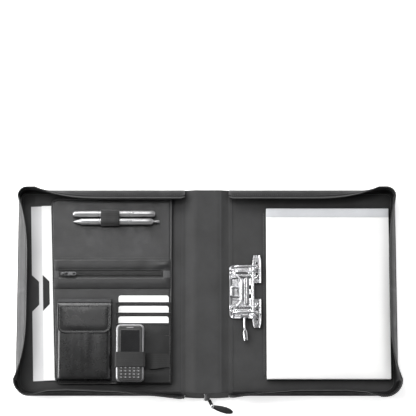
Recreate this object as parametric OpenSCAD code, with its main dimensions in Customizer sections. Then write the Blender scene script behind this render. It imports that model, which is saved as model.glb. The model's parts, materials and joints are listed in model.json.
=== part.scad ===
// Zip-round portfolio case for A4 papers, lying open with its inside up.
// +X points to the fore edge of the back cover, +Y to the top edge and +Z up.
// The origin lies on the table under the middle of the spine.
// Both covers close over the spine into a block of closed_t.

/* [Covers] */
// Height of the covers along the spine
cover_h = 360; // [356:1:364]
// Distance from the spine's middle to a fore edge
cover_reach = 325; // [322:1:328]
// Distance from the spine's middle to the inner edge of a board
board_start = 36.5; // [36.5:0.1:37]
// Thickness of a leather-covered board
board_t = 4; // [3.6:0.1:4]
// Radius of a board's top fore-edge corner
corner_r = 14; // [10:1:16]
// Radius of a board's bottom fore-edge corner
low_corner_r = 22; // [16:1:22]
// Thickness of the lining on a board
lining_t = 0.8; // [0.5:0.1:0.8]

/* [Spine] */
// Width of the stiff spine panel
spine_w = 56; // [54:0.5:56]
// Thickness of the spine panel
spine_t = 3; // [2:0.1:3]
// Thickness of the whole case when it is zipped shut
closed_t = 64; // [64:0.5:66]
// Height of the two fold lines above the table
fold_z = 3.5; // [3.5:0.1:3.6]

/* [Gussets] */
// Thickness of a gusset wall
wall_t = 2; // [1.6:0.1:2]
// Inward lean of the front cover's side gusset when the case lies open
front_side_lean = 36; // [30:1:38]
// Inward lean of the back cover's side gusset when the case lies open
back_side_lean = 24; // [20:1:30]
// Inward lean of the top gussets when the case lies open
top_lean = 43; // [35:1:48]
// Outward lean of the bottom gussets when the case lies open
bottom_lean = 10; // [5:1:14]
// Width of the gusset's leather below the zip tape
wall_leather_h = 20; // [18:0.5:21]

/* [Handle] */
// Width of the handle strap
strap_w = 21; // [18:1:24]
// Distance from the spine's middle to an end of the handle strap
strap_reach = 112; // [108:1:116]
// Thickness of the handle strap
strap_t = 4.6; // [4:0.1:4.8]

/* [Ring mechanism] */
// Distance between the two rings
ring_pitch = 80; // [80:1:80]
// Distance from an arch's leg to its post
arch_span = 39.7; // [39:0.1:40]
// Height of the flat top of an arch above the table
arch_top = 26; // [24:0.5:30]
// Radius of an arch's two bends
arch_bend = 9; // [7:0.5:10]
// Diameter of the bent arch wire
wire_d = 3; // [2.6:0.1:3]
// Diameter of a post
post_d = 4.4; // [4:0.1:4.6]
// Length of the compressor bar
bar_len = 127; // [120:1:130]
// Length of the ring plate along the spine
plate_len = 93; // [92:1:98]

/* [Writing pad] */
// Width of the paper
paper_w = 210; // [208:1:210]
// Length of the paper
paper_h = 297; // [290:1:297]
// Thickness of the pad's sheets
pad_t = 5.7; // [3:0.1:6]

/* [Organizer] */
// Length of a card
card_w = 85.6; // [85:0.1:86]
// Diameter of a pen
pen_d = 11.4; // [10:0.1:11.6]
// Length of the phone
phone_h = 98.5; // [96:0.5:100]
// Width of the phone
phone_w = 47.5; // [46:0.5:48]
// Thickness of the phone
phone_t = 15; // [12:0.5:16]

/* [Hidden] */
$fn = 48;

half_h = cover_h / 2;
half_closed = closed_t / 2;
board_top = board_t;
lining_top = board_top + lining_t;
overlay_t = 1.2;

// Gusset walls: the hinge line at a wall's foot, and the zip on its free edge.
foot_x = cover_reach - 3;
foot_y = half_h - 3;
foot_z = board_top + 1.6;
wall_h = half_closed - 0.3 - foot_z;
zip_tape_t = 1.2;
coil_w = 2;
coil_h = 1.6;
side_top_y = 151.5;
side_bottom_y = -150;
side_len = side_top_y - side_bottom_y;
edge_start_x = 37.5;
edge_end_x = 292;
edge_len = edge_end_x - edge_start_x;
corner_gap = 2;
foot_inset = 1;

// Spine and handle.
spine_z = 7;
strap_z = 1.6;
grip_reach = 72;
keeper_y = 76;
keeper_w = 12;
keeper_wall = 3;
tongue_d = 26;
tongue_tail = 9;
tongue_t = spine_z - 0.6;

// Main zip pull: the thong runs through the slider's bail to its rivet.
slider_len = 11;
bail_w = 2.4;
bail_t = 1.4;
thong_x = 0;
thong_y = -half_h - 3.6;
thong_bend = [6.5, -half_h - 4.9];
thong_z = 1.7;
rivet_x = 9;
rivet_y = -half_h - 18;
rivet_d = 3;
tab_len = 28;
tab_drop = 8;

// Ring mechanism, on the back cover beside the spine.
plate_x0 = 38;
plate_x1 = 78.5;
post_tab_w = 14;
plate_t = 1.2;
plate_top = lining_top + plate_t;
ring_y = ring_pitch / 2;
leg_x = 46;
axle_z = plate_top + 2;
post_x = leg_x + arch_span;
arch_z = arch_top - arch_bend;
post_h = arch_z - 0.3 - plate_top;
lever_x = 64;
lever_y = -43;
lever_z = plate_top + 3.6;
hub_d = 6.4;
pin_d = 3;
bar_w = 15;
bar_taper_y = 50;
notch_x = post_x - 4.3;
notch_y = [-13, 15];
bar_z = plate_top + 0.4;
bar_t = 2;

// Writing pad.
pad_x = 102;
pad_y = -152.5;
pad_z = lining_top + 1.2;
backing_t = 0.8;
header_h = 15;

// Organizer panel on the front cover.
panel_x0 = -269;
panel_x1 = -60;
panel_y0 = -161;
panel_y1 = 164;
panel_slant = 11;
panel_z = lining_top + 2.4;
panel_t = 1.6;
panel_top = panel_z + panel_t;
folder_t = 0.9;
folder_turn = 1.6;
folder_mid = -200;

// Pens lie side by side in the elastic loop.
pen_wall = 1.1;
pen_gap = 0.35;
pen_pitch = 13.4;
pen_y = 134.4;
pen_end = -92;
button_d = 4.6;
pen_z = panel_top + pen_wall + pen_gap + pen_d / 2;

// Zip pocket.
facing_t = 1;
facing_x0 = -262;
facing_y0 = 4.5;
facing_y1 = 55;
window_x0 = -253;
window_x1 = -75;
window_y0 = 24;
window_y1 = 35.5;

// Pouch.
pouch_x0 = -254;
pouch_x1 = -163.5;
pouch_y0 = -155;
pouch_y1 = -17;
pouch_h = 13;
pouch_wall = 1.5;
flap_gap = 0.5;
flap_t = 1.8;
flap_h = 55;
hinge_y = pouch_y1 + 1;
hinge_z = panel_top + pouch_h + flap_gap + flap_t / 2;

// Cards and their slots step up like stairs toward the phone.
card_x = -150.8;
card_h = 54;
card_t = 0.76;
card_tops = [-7.5, -26, -44.5];
card_rise = 1.3;
slot_t = 0.5;
slot_edge = 3;

// Phone and strap.
phone_x = -154;
phone_y = -159;
phone_z = panel_top + 3 * card_rise + 0.6;
phone_strap_t = 1.2;
phone_strap_y0 = -134.5;
phone_strap_y1 = -109;

leather = "#1f1f21";
lining = "#2b2b2d";
steel = "#d4d6d9";
paper = "#f7f7f5";
silver = "#b9bbbe";

// A flat outline with round corners: r0 at its x0 side, r1 at its x1 side, and
// r_low, when it is given, at the low corner of its x1 side.
module round_outline(x0, x1, y0, y1, r0, r1, r_low = 0) {
    low = r_low > 0 ? r_low : r1;
    hull() {
        for (y = [y0 + r0, y1 - r0]) translate([x0 + r0, y]) circle(r0);
        translate([x1 - r1, y1 - r1]) circle(r1);
        translate([x1 - low, y0 + low]) circle(low);
    }
}

// The same outline as a plate from z0, t thick.
module round_plate(x0, x1, y0, y1, r0, r1, z0, t, r_low = 0) {
    translate([0, 0, z0]) linear_extrude(t) round_outline(x0, x1, y0, y1, r0, r1, r_low);
}

// A box from its low corner to its high corner.
module box(low, high) {
    translate(low) cube(high - low);
}

// A cylinder along X.
module rod_x(d, len) {
    rotate([0, 90, 0]) cylinder(d = d, h = len);
}

// A cylinder along Y.
module rod_y(d, len) {
    rotate([-90, 0, 0]) cylinder(d = d, h = len);
}

// Gusset wall that runs len along +X from its foot line, with a round foot.
module wall_leather(len) {
    rod_x(wall_t, len);
    translate([0, -wall_t / 2, 0]) cube([len, wall_t, wall_leather_h]);
}

// Zip tape and half coil on the wall's free edge.
module wall_zip(len) {
    translate([0, -zip_tape_t / 2, wall_leather_h])
        cube([len, zip_tape_t, wall_h - wall_leather_h]);
    translate([0, zip_tape_t / 2, wall_h - coil_h]) cube([len, (coil_w - zip_tape_t), coil_h]);
}

// Places a side wall on the back cover; the wall runs along -Y and leans to -X.
module at_side(lean) {
    translate([foot_x, side_top_y, foot_z]) rotate([0, -lean, 0]) rotate([0, 0, -90]) children();
}

module at_top() {
    translate([edge_start_x, foot_y, foot_z]) rotate([top_lean, 0, 0]) children();
}

module at_bottom() {
    translate([edge_start_x, -foot_y, foot_z]) rotate([bottom_lean, 0, 0]) children();
}

// The front cover mirrors the back cover across the spine.
module on_front() {
    mirror([1, 0, 0]) children();
}

// Upright gusset round one corner of a cover; y_end is where its side arm stops.
module corner_wall(r, y_end) {
    arc_x = foot_x - r;
    arc_y = foot_y - r;
    arm_x = edge_end_x + corner_gap;
    h = half_closed - 0.3 - board_top;
    translate([0, 0, board_top]) {
        translate([arc_x, arc_y, 0]) rotate_extrude(angle = 90)
            translate([r - wall_t / 2, 0]) square([wall_t, h]);
        translate([arm_x, foot_y - wall_t / 2, 0]) cube([arc_x - arm_x, wall_t, h]);
        translate([foot_x - wall_t / 2, y_end, 0]) cube([wall_t, arc_y - y_end, h]);
    }
}

module corner_walls() {
    corner_wall(corner_r - foot_inset, side_top_y + corner_gap);
    mirror([0, 1, 0]) corner_wall(low_corner_r - foot_inset, -side_bottom_y + corner_gap);
}

// Leather-covered board of a cover, from z0 up.
module cover_board(z0) {
    color(leather) round_plate(board_start, cover_reach, -half_h, half_h, 2, corner_r, z0, board_t - z0,
        low_corner_r);
}

module cover_lining() {
    inset = 3;
    color(lining) round_plate(board_start + 1.5, foot_x - inset, -foot_y + inset, foot_y - inset,
        2, corner_r - 4, board_top, lining_t, low_corner_r - 4);
}

// ---- Back cover ----

module back_board() {
    cover_board(0);
}

module back_lining() {
    cover_lining();
}

module back_corner_walls() {
    color(leather) corner_walls();
}

// Stitched flap under the pad; its free side takes the pad's backing.
module pad_flap() {
    color(lining) box([96, -146, lining_top], [190, 140, lining_top + 1]);
}

module pad_backing() {
    color("#8d8678") box([pad_x, pad_y, pad_z], [pad_x + paper_w, pad_y + paper_h, pad_z + backing_t]);
}

module pad_sheets() {
    z = pad_z + backing_t;
    color(paper) box([pad_x, pad_y, z], [pad_x + paper_w, pad_y + paper_h, z + pad_t]);
}

// Tape over the glued head of the pad.
module pad_header() {
    z = pad_z + backing_t + pad_t;
    y = pad_y + paper_h;
    color("#c9cacc") {
        box([pad_x, y - header_h, z], [pad_x + paper_w, y + 0.4, z + 0.4]);
        box([pad_x, y, pad_z], [pad_x + paper_w, y + 0.4, z + 0.2]);
    }
}

// ---- Ring mechanism ----

// Pressed base plate; a tab on each side carries a post.
module ring_plate() {
    color(steel) difference() {
        union() {
            round_plate(plate_x0, plate_x1, -plate_len / 2, plate_len / 2, 8, 2, lining_top, plate_t);
            for (y = [-ring_y, ring_y])
                box([plate_x1 - 3, y - post_tab_w / 2, lining_top], [post_x + 5, y + post_tab_w / 2, plate_top]);
        }
        for (y = [-12, 12]) translate([56, y, 0]) cylinder(d = 6, h = 20);
    }
}

module plate_rivets() {
    color(steel) for (x = [41.5, 73], y = [-33, 33])
        translate([x, y, plate_top]) {
            cylinder(d = 4, h = 0.6);
            translate([0, 0, 0.6]) cylinder(d1 = 4, d2 = 2.6, h = 0.5, $fn = 24);
        }
}

module ring_posts() {
    color(steel) for (y = [-ring_y, ring_y])
        translate([post_x, y, plate_top]) cylinder(d = post_d, h = post_h);
}

// Loops pressed up from the plate hold the arch wire.
module arch_bearings() {
    color(steel) for (y = [-26, 26]) difference() {
        box([leg_x - 3.5, y - 3, plate_top], [leg_x + 3.5, y + 3, axle_z + 3.2]);
        translate([leg_x, y - 4, axle_z]) rod_y(wire_d + 0.12, 8);
    }
}

// One bent wire: the axle lies along the plate and an arch stands at each end.
module ring_arches() {
    color(steel) {
        translate([leg_x, -ring_y, axle_z]) rod_y(wire_d, ring_pitch);
        for (y = [-ring_y, ring_y]) {
            translate([leg_x, y, axle_z]) sphere(d = wire_d);
            translate([leg_x, y, axle_z]) cylinder(d = wire_d, h = arch_z - axle_z);
            translate([leg_x + arch_bend, y, arch_top]) rod_x(wire_d, arch_span - 2 * arch_bend);
            translate([post_x - arch_bend, y, arch_z]) rotate([90, 0, 0]) rotate_extrude(angle = 90)
                translate([arch_bend, 0]) circle(d = wire_d);
            translate([leg_x + arch_bend, y, arch_z]) rotate([90, -90, 0]) rotate_extrude(angle = 90)
                translate([arch_bend, 0]) circle(d = wire_d);
        }
    }
}

module lever_bracket() {
    color(steel) for (x = [lever_x - 6.2, lever_x + 4.2]) difference() {
        box([x, lever_y - 4, plate_top], [x + 2, lever_y + 4, lever_z + 3.4]);
        translate([x - 1, lever_y, lever_z]) rod_x(pin_d, 4);
    }
}

module lever_pin() {
    color(steel) translate([lever_x - 7, lever_y, lever_z]) {
        translate([0.8, 0, 0]) rod_x(pin_d, 12.4);
        rod_x(pin_d + 1.6, 0.8);
        translate([13.2, 0, 0]) rod_x(pin_d + 1.6, 0.8);
    }
}

// Bent lever with a flattened thumb end.
module lever() {
    color(steel) difference() {
        union() {
            translate([lever_x - 4, lever_y, lever_z]) rod_x(hub_d, 8);
            translate([lever_x, -70, lever_z]) rod_y(3.6, 70 + lever_y);
            translate([0, 0, lever_z - 1]) linear_extrude(2) {
                translate([lever_x, -81]) circle(d = 10);
                polygon([[lever_x - 1.8, -66], [lever_x + 1.8, -66], [lever_x + 5, -81], [lever_x - 5, -81]]);
            }
        }
        translate([lever_x - 5, lever_y, lever_z]) rod_x(pin_d + 0.12, 10);
    }
}

// Bar that presses the papers down; it slides on the posts.
module compressor_bar() {
    half_bar = bar_len / 2;
    x0 = post_x - bar_w / 2;
    x1 = post_x + bar_w / 2;
    color(steel) translate([0, 0, bar_z]) linear_extrude(bar_t) difference() {
        polygon([
            [x0 + 1.5, -half_bar], [x1 - 2, -half_bar], [x1, -bar_taper_y], [x1, notch_y[0] - 4],
            [notch_x + 3, notch_y[0]], [notch_x, notch_y[0]], [notch_x, notch_y[1]], [x1, notch_y[1] + 1],
            [x1, bar_taper_y], [x1 - 2, half_bar], [x0 + 1.5, half_bar], [x0, bar_taper_y],
            [x0, -bar_taper_y]
        ]);
        for (y = [-ring_y, ring_y]) translate([post_x, y]) circle(d = post_d + 0.6);
        for (y = [-ring_y, ring_y], s = [-1, 1]) translate([post_x, y + 9 * s]) circle(d = 3.4);
    }
}

// ---- Gussets ----

module back_side_wall() { color(leather) at_side(back_side_lean) wall_leather(side_len); }
module back_side_zip() { color(lining) at_side(back_side_lean) wall_zip(side_len); }
module back_top_wall() { color(leather) at_top() wall_leather(edge_len); }
module back_top_zip() { color(lining) at_top() wall_zip(edge_len); }
module back_bottom_wall() { color(leather) at_bottom() wall_leather(edge_len); }
module back_bottom_zip() { color(lining) at_bottom() wall_zip(edge_len); }
module front_side_wall() { color(leather) on_front() at_side(front_side_lean) wall_leather(side_len); }
module front_side_zip() { color(lining) on_front() at_side(front_side_lean) wall_zip(side_len); }
module front_top_wall() { color(leather) on_front() at_top() wall_leather(edge_len); }
module front_top_zip() { color(lining) on_front() at_top() wall_zip(edge_len); }
module front_bottom_wall() { color(leather) on_front() at_bottom() wall_leather(edge_len); }
module front_bottom_zip() { color(lining) on_front() at_bottom() wall_zip(edge_len); }

// ---- Spine ----

module spine_panel() {
    color(leather) box([-spine_w / 2, -half_h + 2, spine_z], [spine_w / 2, half_h - 2, spine_z + spine_t]);
}

// Leather tongues over the handle's ends, round toward its grip.
module handle_tongues() {
    r = tongue_d / 2;
    color(leather) for (s = [-1, 1]) translate([0, s * (strap_reach + 11), spine_z - tongue_t])
        linear_extrude(tongue_t) {
            circle(r);
            translate([-r, s > 0 ? 0 : -tongue_tail]) square([tongue_d, tongue_tail]);
        }
}

// The handle's ends run through the keepers and are sewn to the spine.
module handle_ends() {
    inner = grip_reach + 0.4;
    outer = strap_reach - 3;
    color(leather) for (y = [-outer, inner])
        box([-strap_w / 2, y, strap_z], [strap_w / 2, y + outer - inner, spine_z]);
}

// Bands across the handle's ends, sewn to the spine on both sides of them.
module handle_keepers() {
    half_strap = strap_w / 2 + 0.5;
    band_z = 0.4;
    color(leather) for (y = [-keeper_y - keeper_w, keeper_y]) {
        box([-half_strap - keeper_wall, y, band_z], [half_strap + keeper_wall, y + keeper_w, band_z + 0.8]);
        for (x = [-half_strap - keeper_wall, half_strap])
            box([x, y, band_z + 0.8], [x + keeper_wall, y + keeper_w, spine_z]);
    }
}

// Padded grip between the keepers; its flat outer face lies on the table.
module handle_strap() {
    flat = grip_reach - 8;
    top = strap_z + strap_t;
    color(leather) translate([-strap_w / 2, 0, 0]) rotate([90, 0, 90]) linear_extrude(strap_w) polygon([
        [-flat, 0], [flat, 0], [grip_reach, strap_z], [grip_reach, top], [-grip_reach, top],
        [-grip_reach, strap_z]
    ]);
}

// Slider of the main zip, parked on the spine's bottom edge, with a bail under it.
module zip_slider() {
    y1 = -half_h + 2;
    y0 = y1 - slider_len;
    x = bail_w / 2;
    low = 0.2;
    body_z = 4;
    color(steel) {
        box([-5, y0, body_z], [5, y1, 9]);
        box([-x, y0 + 1, low + 1.2], [x, y0 + 1 + bail_t, body_z]);
        box([-x, y1 - 1.2 - bail_t, low + 1.2], [x, y1 - 1.2, body_z]);
        box([-x, y0 + 1, low], [x, y1 - 1.2, low + 1.2]);
    }
}

// ---- Main zip pull ----

// Leather thong through the slider's bail, turned to its rivet.
module pull_thong() {
    color(leather) translate([0, 0, thong_z]) linear_extrude(2) difference() {
        union() {
            hull() {
                translate([thong_x, thong_y]) circle(d = 4.4);
                translate(thong_bend) circle(d = 4.8);
            }
            hull() {
                translate(thong_bend) circle(d = 4.8);
                translate([rivet_x, rivet_y]) circle(d = 6);
            }
        }
        translate([rivet_x, rivet_y]) circle(d = rivet_d);
    }
}

module pull_rivet() {
    stem_z = 0.1;
    head_z = thong_z + 2;
    color(steel) translate([rivet_x, rivet_y, 0]) {
        translate([0, 0, stem_z]) cylinder(d = rivet_d, h = head_z - stem_z);
        translate([0, 0, head_z]) cylinder(d = 5, h = 0.8);
    }
}

// Teardrop leather tab on the rivet.
module pull_tab() {
    color(leather) translate([0, 0, 0.1]) linear_extrude(1.5) difference() {
        hull() {
            translate([rivet_x, rivet_y]) circle(d = 7);
            translate([rivet_x + tab_len, rivet_y - tab_drop]) circle(d = 14);
        }
        translate([rivet_x, rivet_y]) circle(d = rivet_d + 0.1);
    }
}

// ---- Front cover ----

module front_board() {
    on_front() cover_board(overlay_t);
}

// Outer pocket panel; its free edge steps back from the spine at mid height.
module front_overlay() {
    near = 41;
    far = 73;
    color(leather) on_front() linear_extrude(overlay_t) difference() {
        round_outline(near, cover_reach - 1, -half_h + 1, half_h - 1, 2, corner_r - 1, low_corner_r - 1);
        polygon([[near - 5, -118], [near, -118], [far, -66], [far, 66], [near, 118], [near - 5, 118]]);
    }
}

module front_lining() {
    on_front() cover_lining();
}

module front_corner_walls() {
    color(leather) on_front() corner_walls();
}

// Papers in the front cover lie turned a little.
module turned() {
    translate([folder_mid, 0, 0]) rotate([0, 0, folder_turn]) translate([-folder_mid, 0, 0]) children();
}

// Paper folder with a thumb notch on its left edge.
module folder(x0, z) {
    color(paper) translate([0, 0, z]) linear_extrude(folder_t) turned() polygon([
        [x0, -152], [-100, -152], [-100, 153], [x0, 153],
        [x0, 32], [x0 + 12, 20], [x0 + 12, -20], [x0, -32]
    ]);
}

module lower_folder() { folder(-299, lining_top); }
module upper_folder() { folder(-281, lining_top + folder_t); }

// Panel sewn down along the spine; its free edge slants.
module organizer_panel() {
    r = 13;
    color(leather) {
        translate([0, 0, panel_z]) linear_extrude(panel_t) hull() {
            translate([panel_x0 + r, panel_y1 - r]) circle(r);
            translate([panel_x0 + panel_slant + r, panel_y0 + r]) circle(r);
            for (y = [panel_y0 + 2, panel_y1 - 2]) translate([panel_x1 - 2, y]) circle(2);
        }
        box([-84, panel_y0 + 4, lining_top], [panel_x1 - 2, panel_y1 - 4, panel_z]);
    }
}

// Elastic band round both pens.
module pen_loop() {
    y0 = pen_y - pen_pitch;
    r = pen_d / 2 + pen_gap;
    color(lining) translate([-182, 0, pen_z]) rotate([90, 0, 90]) linear_extrude(32) difference() {
        union() {
            for (y = [y0, pen_y]) translate([y, 0]) circle(r + pen_wall);
            translate([y0, -r - pen_wall]) square([pen_pitch, 2 * (r + pen_wall)]);
        }
        for (y = [y0, pen_y]) translate([y, 0]) circle(r);
        translate([y0, -r]) square([pen_pitch, 2 * r]);
    }
}

// Barrel with a cone at its writing end, from x0 to x1.
module pen_barrel(x0, x1, y) {
    color(silver) translate([0, y, pen_z]) {
        translate([x0 + 14, 0, 0]) rod_x(pen_d, x1 - x0 - 14);
        translate([x0, 0, 0]) rotate([0, 90, 0]) cylinder(d1 = 2.4, d2 = pen_d, h = 14);
    }
}

// The clip stands up from the barrel, beyond the loop.
module pen_clip(x0, x1, y) {
    top = pen_z + pen_d / 2;
    color(silver) {
        box([x1 - 5, y - 1.8, top - 1.5], [x1, y + 1.8, top + 2.4]);
        box([x0, y - 1.8, top + 1.2], [x1 - 5, y + 1.8, top + 2.4]);
    }
}

module upper_pen() {
    pen_barrel(-231, -89, pen_y);
    pen_clip(-130, -92, pen_y);
}

module lower_pen() {
    y = pen_y - pen_pitch;
    color(silver) difference() {
        union() {
            pen_barrel(-230, pen_end, y);
            pen_clip(pen_end - 40, pen_end - 2, y);
        }
        translate([pen_end - 5, y, pen_z]) rod_x(button_d + 0.3, 10);
    }
}

// Click button; its stem runs in the pen's bore.
module pen_button() {
    color(silver) translate([pen_end - 0.8, pen_y - pen_pitch, pen_z]) rod_x(button_d, 11.5);
}

// Facing of the zip pocket with its window.
module pocket_facing() {
    color(leather) difference() {
        box([facing_x0, facing_y0, panel_top], [panel_x1 - 3, facing_y1, panel_top + facing_t]);
        box([window_x0, window_y0, panel_top - 1], [window_x1, window_y1, panel_top + 5]);
    }
}

module pocket_zip() {
    mid = (window_y0 + window_y1) / 2;
    color(lining) {
        box([window_x0, window_y0, panel_top], [window_x1, window_y1, panel_top + 0.6]);
        box([window_x0 + 2, mid - 2.2, panel_top + 0.6], [window_x1 - 2, mid + 2.2, panel_top + 1.6]);
    }
}

module pocket_slider() {
    mid = (window_y0 + window_y1) / 2;
    z = panel_top + 1.8;
    color(steel) difference() {
        union() {
            box([window_x0 + 3, mid - 3.6, z], [window_x0 + 12, mid + 3.6, z + 1.4]);
            box([window_x0 + 6, mid - 1.2, z + 1.4], [window_x0 + 12, mid + 1.2, z + 4]);
        }
        translate([window_x0 + 9.6, mid - 2, z + 2.7]) rod_y(1.4, 4);
    }
}

// Puller on the slider's cross pin, laid along the zip.
module pocket_puller() {
    mid = (window_y0 + window_y1) / 2;
    z = panel_top + 4.5;
    color(steel) {
        translate([window_x0 + 9.6, mid - 3.4, z]) rod_y(1.2, 6.8);
        for (s = [-1, 1])
            box([window_x0 + 9, mid + s * 2.5 - 0.9, z - 0.6], [window_x0 + 16, mid + s * 2.5 + 0.9, z + 0.6]);
        box([window_x0 + 13, mid - 3.4, z - 0.6], [window_x0 + 30, mid + 3.4, z + 0.6]);
    }
}

// Pouch box, open at its top end under the flap.
module pouch() {
    color(leather) difference() {
        round_plate(pouch_x0, pouch_x1, pouch_y0, pouch_y1, 3, 3, panel_top, pouch_h);
        box([pouch_x0 + pouch_wall, pouch_y0 + pouch_wall, panel_top + pouch_wall],
            [pouch_x1 - pouch_wall, pouch_y1 + 5, panel_top + pouch_h - pouch_wall]);
    }
}

// Standing leather behind the pouch's mouth, up to the flap's hinge.
module flap_back() {
    color(leather) box([pouch_x0 + 2, hinge_y + 1.1, panel_top], [pouch_x1 - 2, hinge_y + 2.3, hinge_z - 0.2]);
}

// Flap with rounded free corners, hinged along the pouch's top edge.
module pouch_flap() {
    z = hinge_z - flap_t / 2;
    x0 = pouch_x0 - 0.5;
    x1 = pouch_x1 + 0.5;
    y0 = pouch_y1 - flap_h;
    r = 8;
    color(leather) {
        translate([0, 0, z]) linear_extrude(flap_t) {
            translate([x0, y0 + r]) square([x1 - x0, hinge_y - y0 - r]);
            translate([x0 + r, y0]) square([x1 - x0 - 2 * r, r]);
            for (x = [x0 + r, x1 - r]) translate([x, y0 + r]) circle(r);
        }
        translate([x0, hinge_y, hinge_z]) rod_x(flap_t, x1 - x0);
    }
}

function slot_z(i) = panel_top + (i + 1) * card_rise - slot_t;

module cards() {
    r = 4;
    color(paper) for (i = [0 : 2])
        translate([card_x, card_tops[i] - card_h, panel_top + i * card_rise]) linear_extrude(card_t) {
            square([card_w, card_h - r]);
            translate([r, 0]) square([card_w - 2 * r, card_h]);
            for (x = [r, card_w - r]) translate([x, card_h - r]) circle(r);
        }
}

// Three stepped slot strips, each sewn down along both sides.
module card_slots() {
    x0 = card_x - 1;
    x1 = card_x + card_w + 1;
    ends = [-65, -83, panel_y0 + 2];
    color(leather) for (i = [0 : 2]) {
        top = card_tops[i] - 11.5;
        box([x0 - slot_edge, ends[i], slot_z(i)], [x1 + slot_edge, top, slot_z(i) + slot_t]);
        for (x = [x0 - slot_edge, x1])
            box([x, ends[i], slot_z(i) - card_rise + slot_t], [x + slot_edge, top, slot_z(i)]);
    }
}

module phone_case() {
    color(silver) round_plate(phone_x, phone_x + phone_w, phone_y, phone_y + phone_h, 7, 7, phone_z, phone_t - 1);
}

// Screen above and key block below, let in on the case's face.
module phone_face() {
    z = phone_z + phone_t - 1;
    color("#161618") round_plate(phone_x + 4, phone_x + phone_w - 4, phone_y + 52, phone_y + phone_h - 5,
        3, 3, z, 0.6);
    color(silver) round_plate(phone_x + 4, phone_x + phone_w - 4, phone_y + 4, phone_y + 24, 3, 3, z, 0.6);
}

// Strap over the phone, sewn down on both sides of it.
module phone_strap() {
    z = slot_z(2) + slot_t;
    top = phone_z + phone_t + 0.3;
    x0 = phone_x - 0.5;
    x1 = phone_x + phone_w + 0.5;
    t = phone_strap_t;
    color(lining) {
        box([x0 - t, phone_strap_y0, z], [x0, phone_strap_y1, top + t]);
        box([x0, phone_strap_y0, top], [x1, phone_strap_y1, top + t]);
        box([x1, phone_strap_y0, z], [x1 + t, phone_strap_y1, top + t]);
        box([x1 + t, phone_strap_y0, z], [-63, phone_strap_y1, z + t]);
    }
}

back_board();
back_lining();
back_corner_walls();
pad_flap();
pad_backing();
pad_sheets();
pad_header();
ring_plate();
plate_rivets();
ring_posts();
arch_bearings();
ring_arches();
lever_bracket();
lever_pin();
lever();
compressor_bar();
back_side_wall();
back_side_zip();
back_top_wall();
back_top_zip();
back_bottom_wall();
back_bottom_zip();
spine_panel();
handle_tongues();
handle_ends();
handle_keepers();
handle_strap();
zip_slider();
pull_thong();
pull_rivet();
pull_tab();
front_board();
front_overlay();
front_lining();
front_corner_walls();
front_side_wall();
front_side_zip();
front_top_wall();
front_top_zip();
front_bottom_wall();
front_bottom_zip();
lower_folder();
upper_folder();
organizer_panel();
pen_loop();
upper_pen();
lower_pen();
pen_button();
pocket_facing();
pocket_zip();
pocket_slider();
pocket_puller();
pouch();
flap_back();
pouch_flap();
cards();
card_slots();
phone_case();
phone_face();
phone_strap();
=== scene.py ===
import json
import math

import bmesh
import bpy
import numpy as np
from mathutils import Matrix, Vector


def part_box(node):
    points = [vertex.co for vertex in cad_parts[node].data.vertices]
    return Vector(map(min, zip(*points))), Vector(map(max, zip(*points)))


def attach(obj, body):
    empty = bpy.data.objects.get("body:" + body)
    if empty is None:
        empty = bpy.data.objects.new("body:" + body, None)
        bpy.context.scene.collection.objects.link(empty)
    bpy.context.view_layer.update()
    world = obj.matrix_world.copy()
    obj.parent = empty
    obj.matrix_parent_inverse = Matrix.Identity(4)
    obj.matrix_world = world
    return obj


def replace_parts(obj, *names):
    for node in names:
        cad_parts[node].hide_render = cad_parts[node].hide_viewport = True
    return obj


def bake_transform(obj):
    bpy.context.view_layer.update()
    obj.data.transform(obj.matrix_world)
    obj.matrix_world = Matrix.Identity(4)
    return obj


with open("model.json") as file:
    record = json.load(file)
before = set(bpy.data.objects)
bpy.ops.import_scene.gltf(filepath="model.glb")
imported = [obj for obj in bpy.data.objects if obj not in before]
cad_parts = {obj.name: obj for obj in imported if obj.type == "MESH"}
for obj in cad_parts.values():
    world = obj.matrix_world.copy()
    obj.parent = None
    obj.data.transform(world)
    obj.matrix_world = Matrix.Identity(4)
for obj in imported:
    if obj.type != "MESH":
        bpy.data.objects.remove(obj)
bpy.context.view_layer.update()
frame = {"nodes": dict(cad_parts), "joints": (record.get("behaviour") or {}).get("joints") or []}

# Lengths below are in millimetres; mesh_piece() turns them into metres.
MM = 0.001
BACK, FRONT = 1, -1
TOP, BOTTOM = 1, -1
SIDE_NAME = {BACK: "back", FRONT: "front"}
END_NAME = {TOP: "top", BOTTOM: "bottom"}


def span(node):
    """Lowest and highest corner of a CAD node, in millimetres."""
    low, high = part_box(node)
    return [v / MM for v in low], [v / MM for v in high]


def plan(low, high):
    """Extent of a box in plan: x0, x1, y0, y1."""
    return low[0], high[0], low[1], high[1]


# ---------- materials


def new_material(name, **sockets):
    material = bpy.data.materials.new("look_" + name)
    material.use_nodes = True
    shader = material.node_tree.nodes["Principled BSDF"]
    for key, value in sockets.items():
        shader.inputs[key.replace("_", " ")].default_value = value
    return material, material.node_tree, shader


def add(tree, kind, inputs=None, **settings):
    made = tree.nodes.new(kind)
    for key, value in settings.items():
        setattr(made, key, value)
    for key, value in (inputs or {}).items():
        if isinstance(value, bpy.types.NodeSocket):
            tree.links.new(value, made.inputs[key])
        else:
            made.inputs[key].default_value = value
    return made


def place(tree, stretch=(1, 1, 1)):
    """Object coordinates in metres, stretched."""
    coords = add(tree, "ShaderNodeTexCoord")
    mapped = add(tree, "ShaderNodeMapping", {"Vector": coords.outputs["Object"], "Scale": stretch})
    return mapped.outputs["Vector"]


def noise(tree, where, scale, detail=3.0):
    inputs = {"Vector": where, "Scale": scale, "Detail": detail, "Roughness": 0.55}
    return add(tree, "ShaderNodeTexNoise", inputs).outputs["Fac"]


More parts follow.
